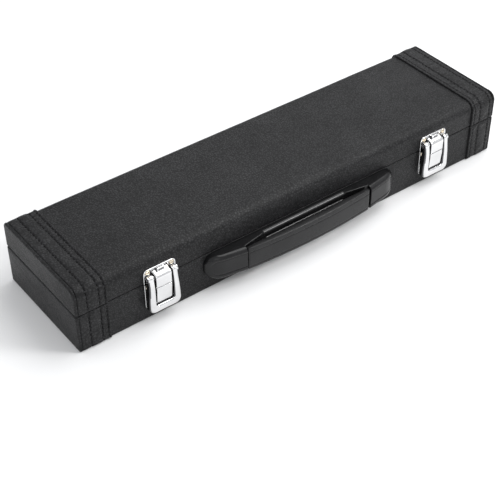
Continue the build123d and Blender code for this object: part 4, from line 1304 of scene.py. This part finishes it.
lid_eyelets, base_eyelets = Soup(), Soup()
for s, nm in ((-1, "left"), (1, "right")):
    c = s * X_LATCH
    top = Soup()
    slab(top, [(-14, 34.1), (-14, 46.6), (14, 46.6), (14, 34.1)], [0.4, 3.6, 3.6, 0.4], 0.0, 1.05, 0.6, c, rim=0.18)
    top.add(*raised([(1.3, 31.65), (7.0, 31.65), (7.0, 41.6), (0.5, 44.0)], [0, 0.4, 3.0, 0], 7.0, 1.5, 1.25, c, keep=(4.6, 0.0)))
    # the hook over the top, with the slot in it
    for x0, x1, z0, z1, p1 in ((-3.5, 3.5, 42.4, 45.7, 3.4),):
        v, f = raised([(0.9, z0), (p1, z0), (p1, z1), (0.9, z1)], [0, 0.9, 1.2, 0], (x1 - x0) / 2, 0.8, 0.9, c)
        v, f = cut_mesh(v, f, [(c - 2.3, c + 2.3, F - 4, F - 2.0, 44.25, 44.95)])
        top.add(v, f)
    # the tongue that enters the lower half
    top.add(*loft([[(c + x * k, F - p, z) for x, p in ((-4, 3.25), (4, 3.25), (4, 4.25), (-4, 4.25))] for z, k in ((36.0, 1.0), (31.6, 1.0), (31.1, 0.96), (30.9, 0.88))]))
    # each latch piece's sideways and downward faces are marked for painted shade
    mark_shaded_flanks(top.make("latch_lid_plate_" + nm, M_CHROME, "lid", "chrome", ["latch_plate_" + nm], sharp=42))
    low = Soup()
    slab(low, [(-14, 33.9), (14, 33.9), (14, 9.6), (-14, 9.6)], [0.4, 0.4, 4.6, 4.6], 0.0, 1.3, 0.75, c, rim=0.35)
    v, f = raised([(0.5, 15.9), (6.1, 15.9), (7.0, 27.5), (7.0, 31.35), (1.2, 31.35)], [0, 2.0, 10.0, 0.4, 0], 7.0, 1.5, 0.6, c, keep=(0.0, 4.6))
    v, f = cut_mesh(v, f, [(c - 4.7, c + 4.7, F - 5.0, F - 2.5, 28.0, 34.0)])
    low.add(v, f)
    mark_shaded_flanks(low.make("latch_base_plate_" + nm, M_CHROME, "base", "chrome", ["keeper_plate_" + nm], sharp=42))
    mark_shaded_flanks(hasp(c).make("latch_ring_" + nm, M_CHROME, "hasp_" + nm, "chrome", ["hasp_" + nm], sharp=42))
    for d in (-10.2, 10.2):
        eyelet(lid_eyelets, c + d, 44.3, 0.95)
        eyelet(base_eyelets, c + d, 30.0, 1.0)
lid_eyelets.make("latch_lid_eyelets", M_BRASSY, "lid", "brassy", ["latch_rivets"], sharp=50)
base_eyelets.make("latch_base_eyelets", M_BRASSY, "base", "brassy", ["keeper_rivets"], sharp=50)

# ------------------------------------------------------------------ floor, light, camera
m, nt, b = mat_new("pale_floor")
b.inputs["Base Color"].default_value = (0.86, 0.86, 0.86, 1)
b.inputs["Roughness"].default_value = 0.85
b.inputs["Specular IOR Level"].default_value = 0.1
me = bpy.data.meshes.new("floor")
S = 6.0
me.from_pydata([(-S, -S, -0.0002), (S, -S, -0.0002), (S, S, -0.0002), (-S, S, -0.0002)], [], [(0, 1, 2, 3)])
me.materials.append(m)
floor = bpy.data.objects.new("floor", me)
scene.collection.objects.link(floor)

world = bpy.data.worlds.new("studio")
scene.world = world
world.use_nodes = True
bg = next(n for n in world.node_tree.nodes if n.type == "BACKGROUND")
bg.inputs["Color"].default_value = (0.97, 0.98, 1.0, 1)
bg.inputs["Strength"].default_value = 0.78


def area(name, place, target, size, power, size_y=None):
    d = bpy.data.lights.new(name, "AREA")
    d.shape = "RECTANGLE"
    d.size, d.size_y = size, size_y or size
    d.energy = power
    o = bpy.data.objects.new(name, d)
    scene.collection.objects.link(o)
    o.location = place
    o.rotation_euler = (Vector(target) - Vector(place)).to_track_quat("-Z", "Y").to_euler()
    return o


area("overhead_softbox", (0.5, -0.1, 1.2), (0, 0, 0.02), 0.9, 7.0, 0.8)
area("front_softbox", (-0.8, -1.25, 0.9), (0, -0.1, 0.02), 1.0, 2.4)
area("left_softbox", (-1.5, 0.1, 0.7), (0, 0, 0.02), 0.8, 0.6)
area("rear_softbox", (0.7, 0.78, 1.0), (0, 0, 0.04), 0.7, 1.6)
area("edge_softbox", (0.72, -0.82, 1.02), (0, 0, 0.04), 0.34, 8.0, 0.34)

cam = bpy.data.cameras.new("camera")
cam_o = bpy.data.objects.new("camera", cam)
scene.collection.objects.link(cam_o)
scene.camera = cam_o
yaw, pitch, roll = math.radians(36.893), math.radians(40.345), math.radians(-0.356)
fw = np.array([math.sin(yaw) * math.cos(pitch), math.cos(yaw) * math.cos(pitch), -math.sin(pitch)])
right_v = np.array([math.cos(yaw), -math.sin(yaw), 0.0])
up_v = np.cross(right_v, fw)
r2 = math.cos(roll) * right_v + math.sin(roll) * up_v
u2 = -math.sin(roll) * right_v + math.cos(roll) * up_v
cm = Matrix.Identity(4)
for i in range(3):
    cm[i][0], cm[i][1], cm[i][2] = r2[i], u2[i], -fw[i]
cm[0][3], cm[1][3], cm[2][3] = -0.4769, -0.6142, 0.6177
cam_o.matrix_world = cm
cam.sensor_width = 36.0
cam.lens = 87.75
cam.clip_start, cam.clip_end = 0.02, 50.0

scene.view_settings.view_transform = "Standard"
scene.view_settings.look = "None"
scene.view_settings.exposure = 0.0
scene.view_settings.gamma = 1.0
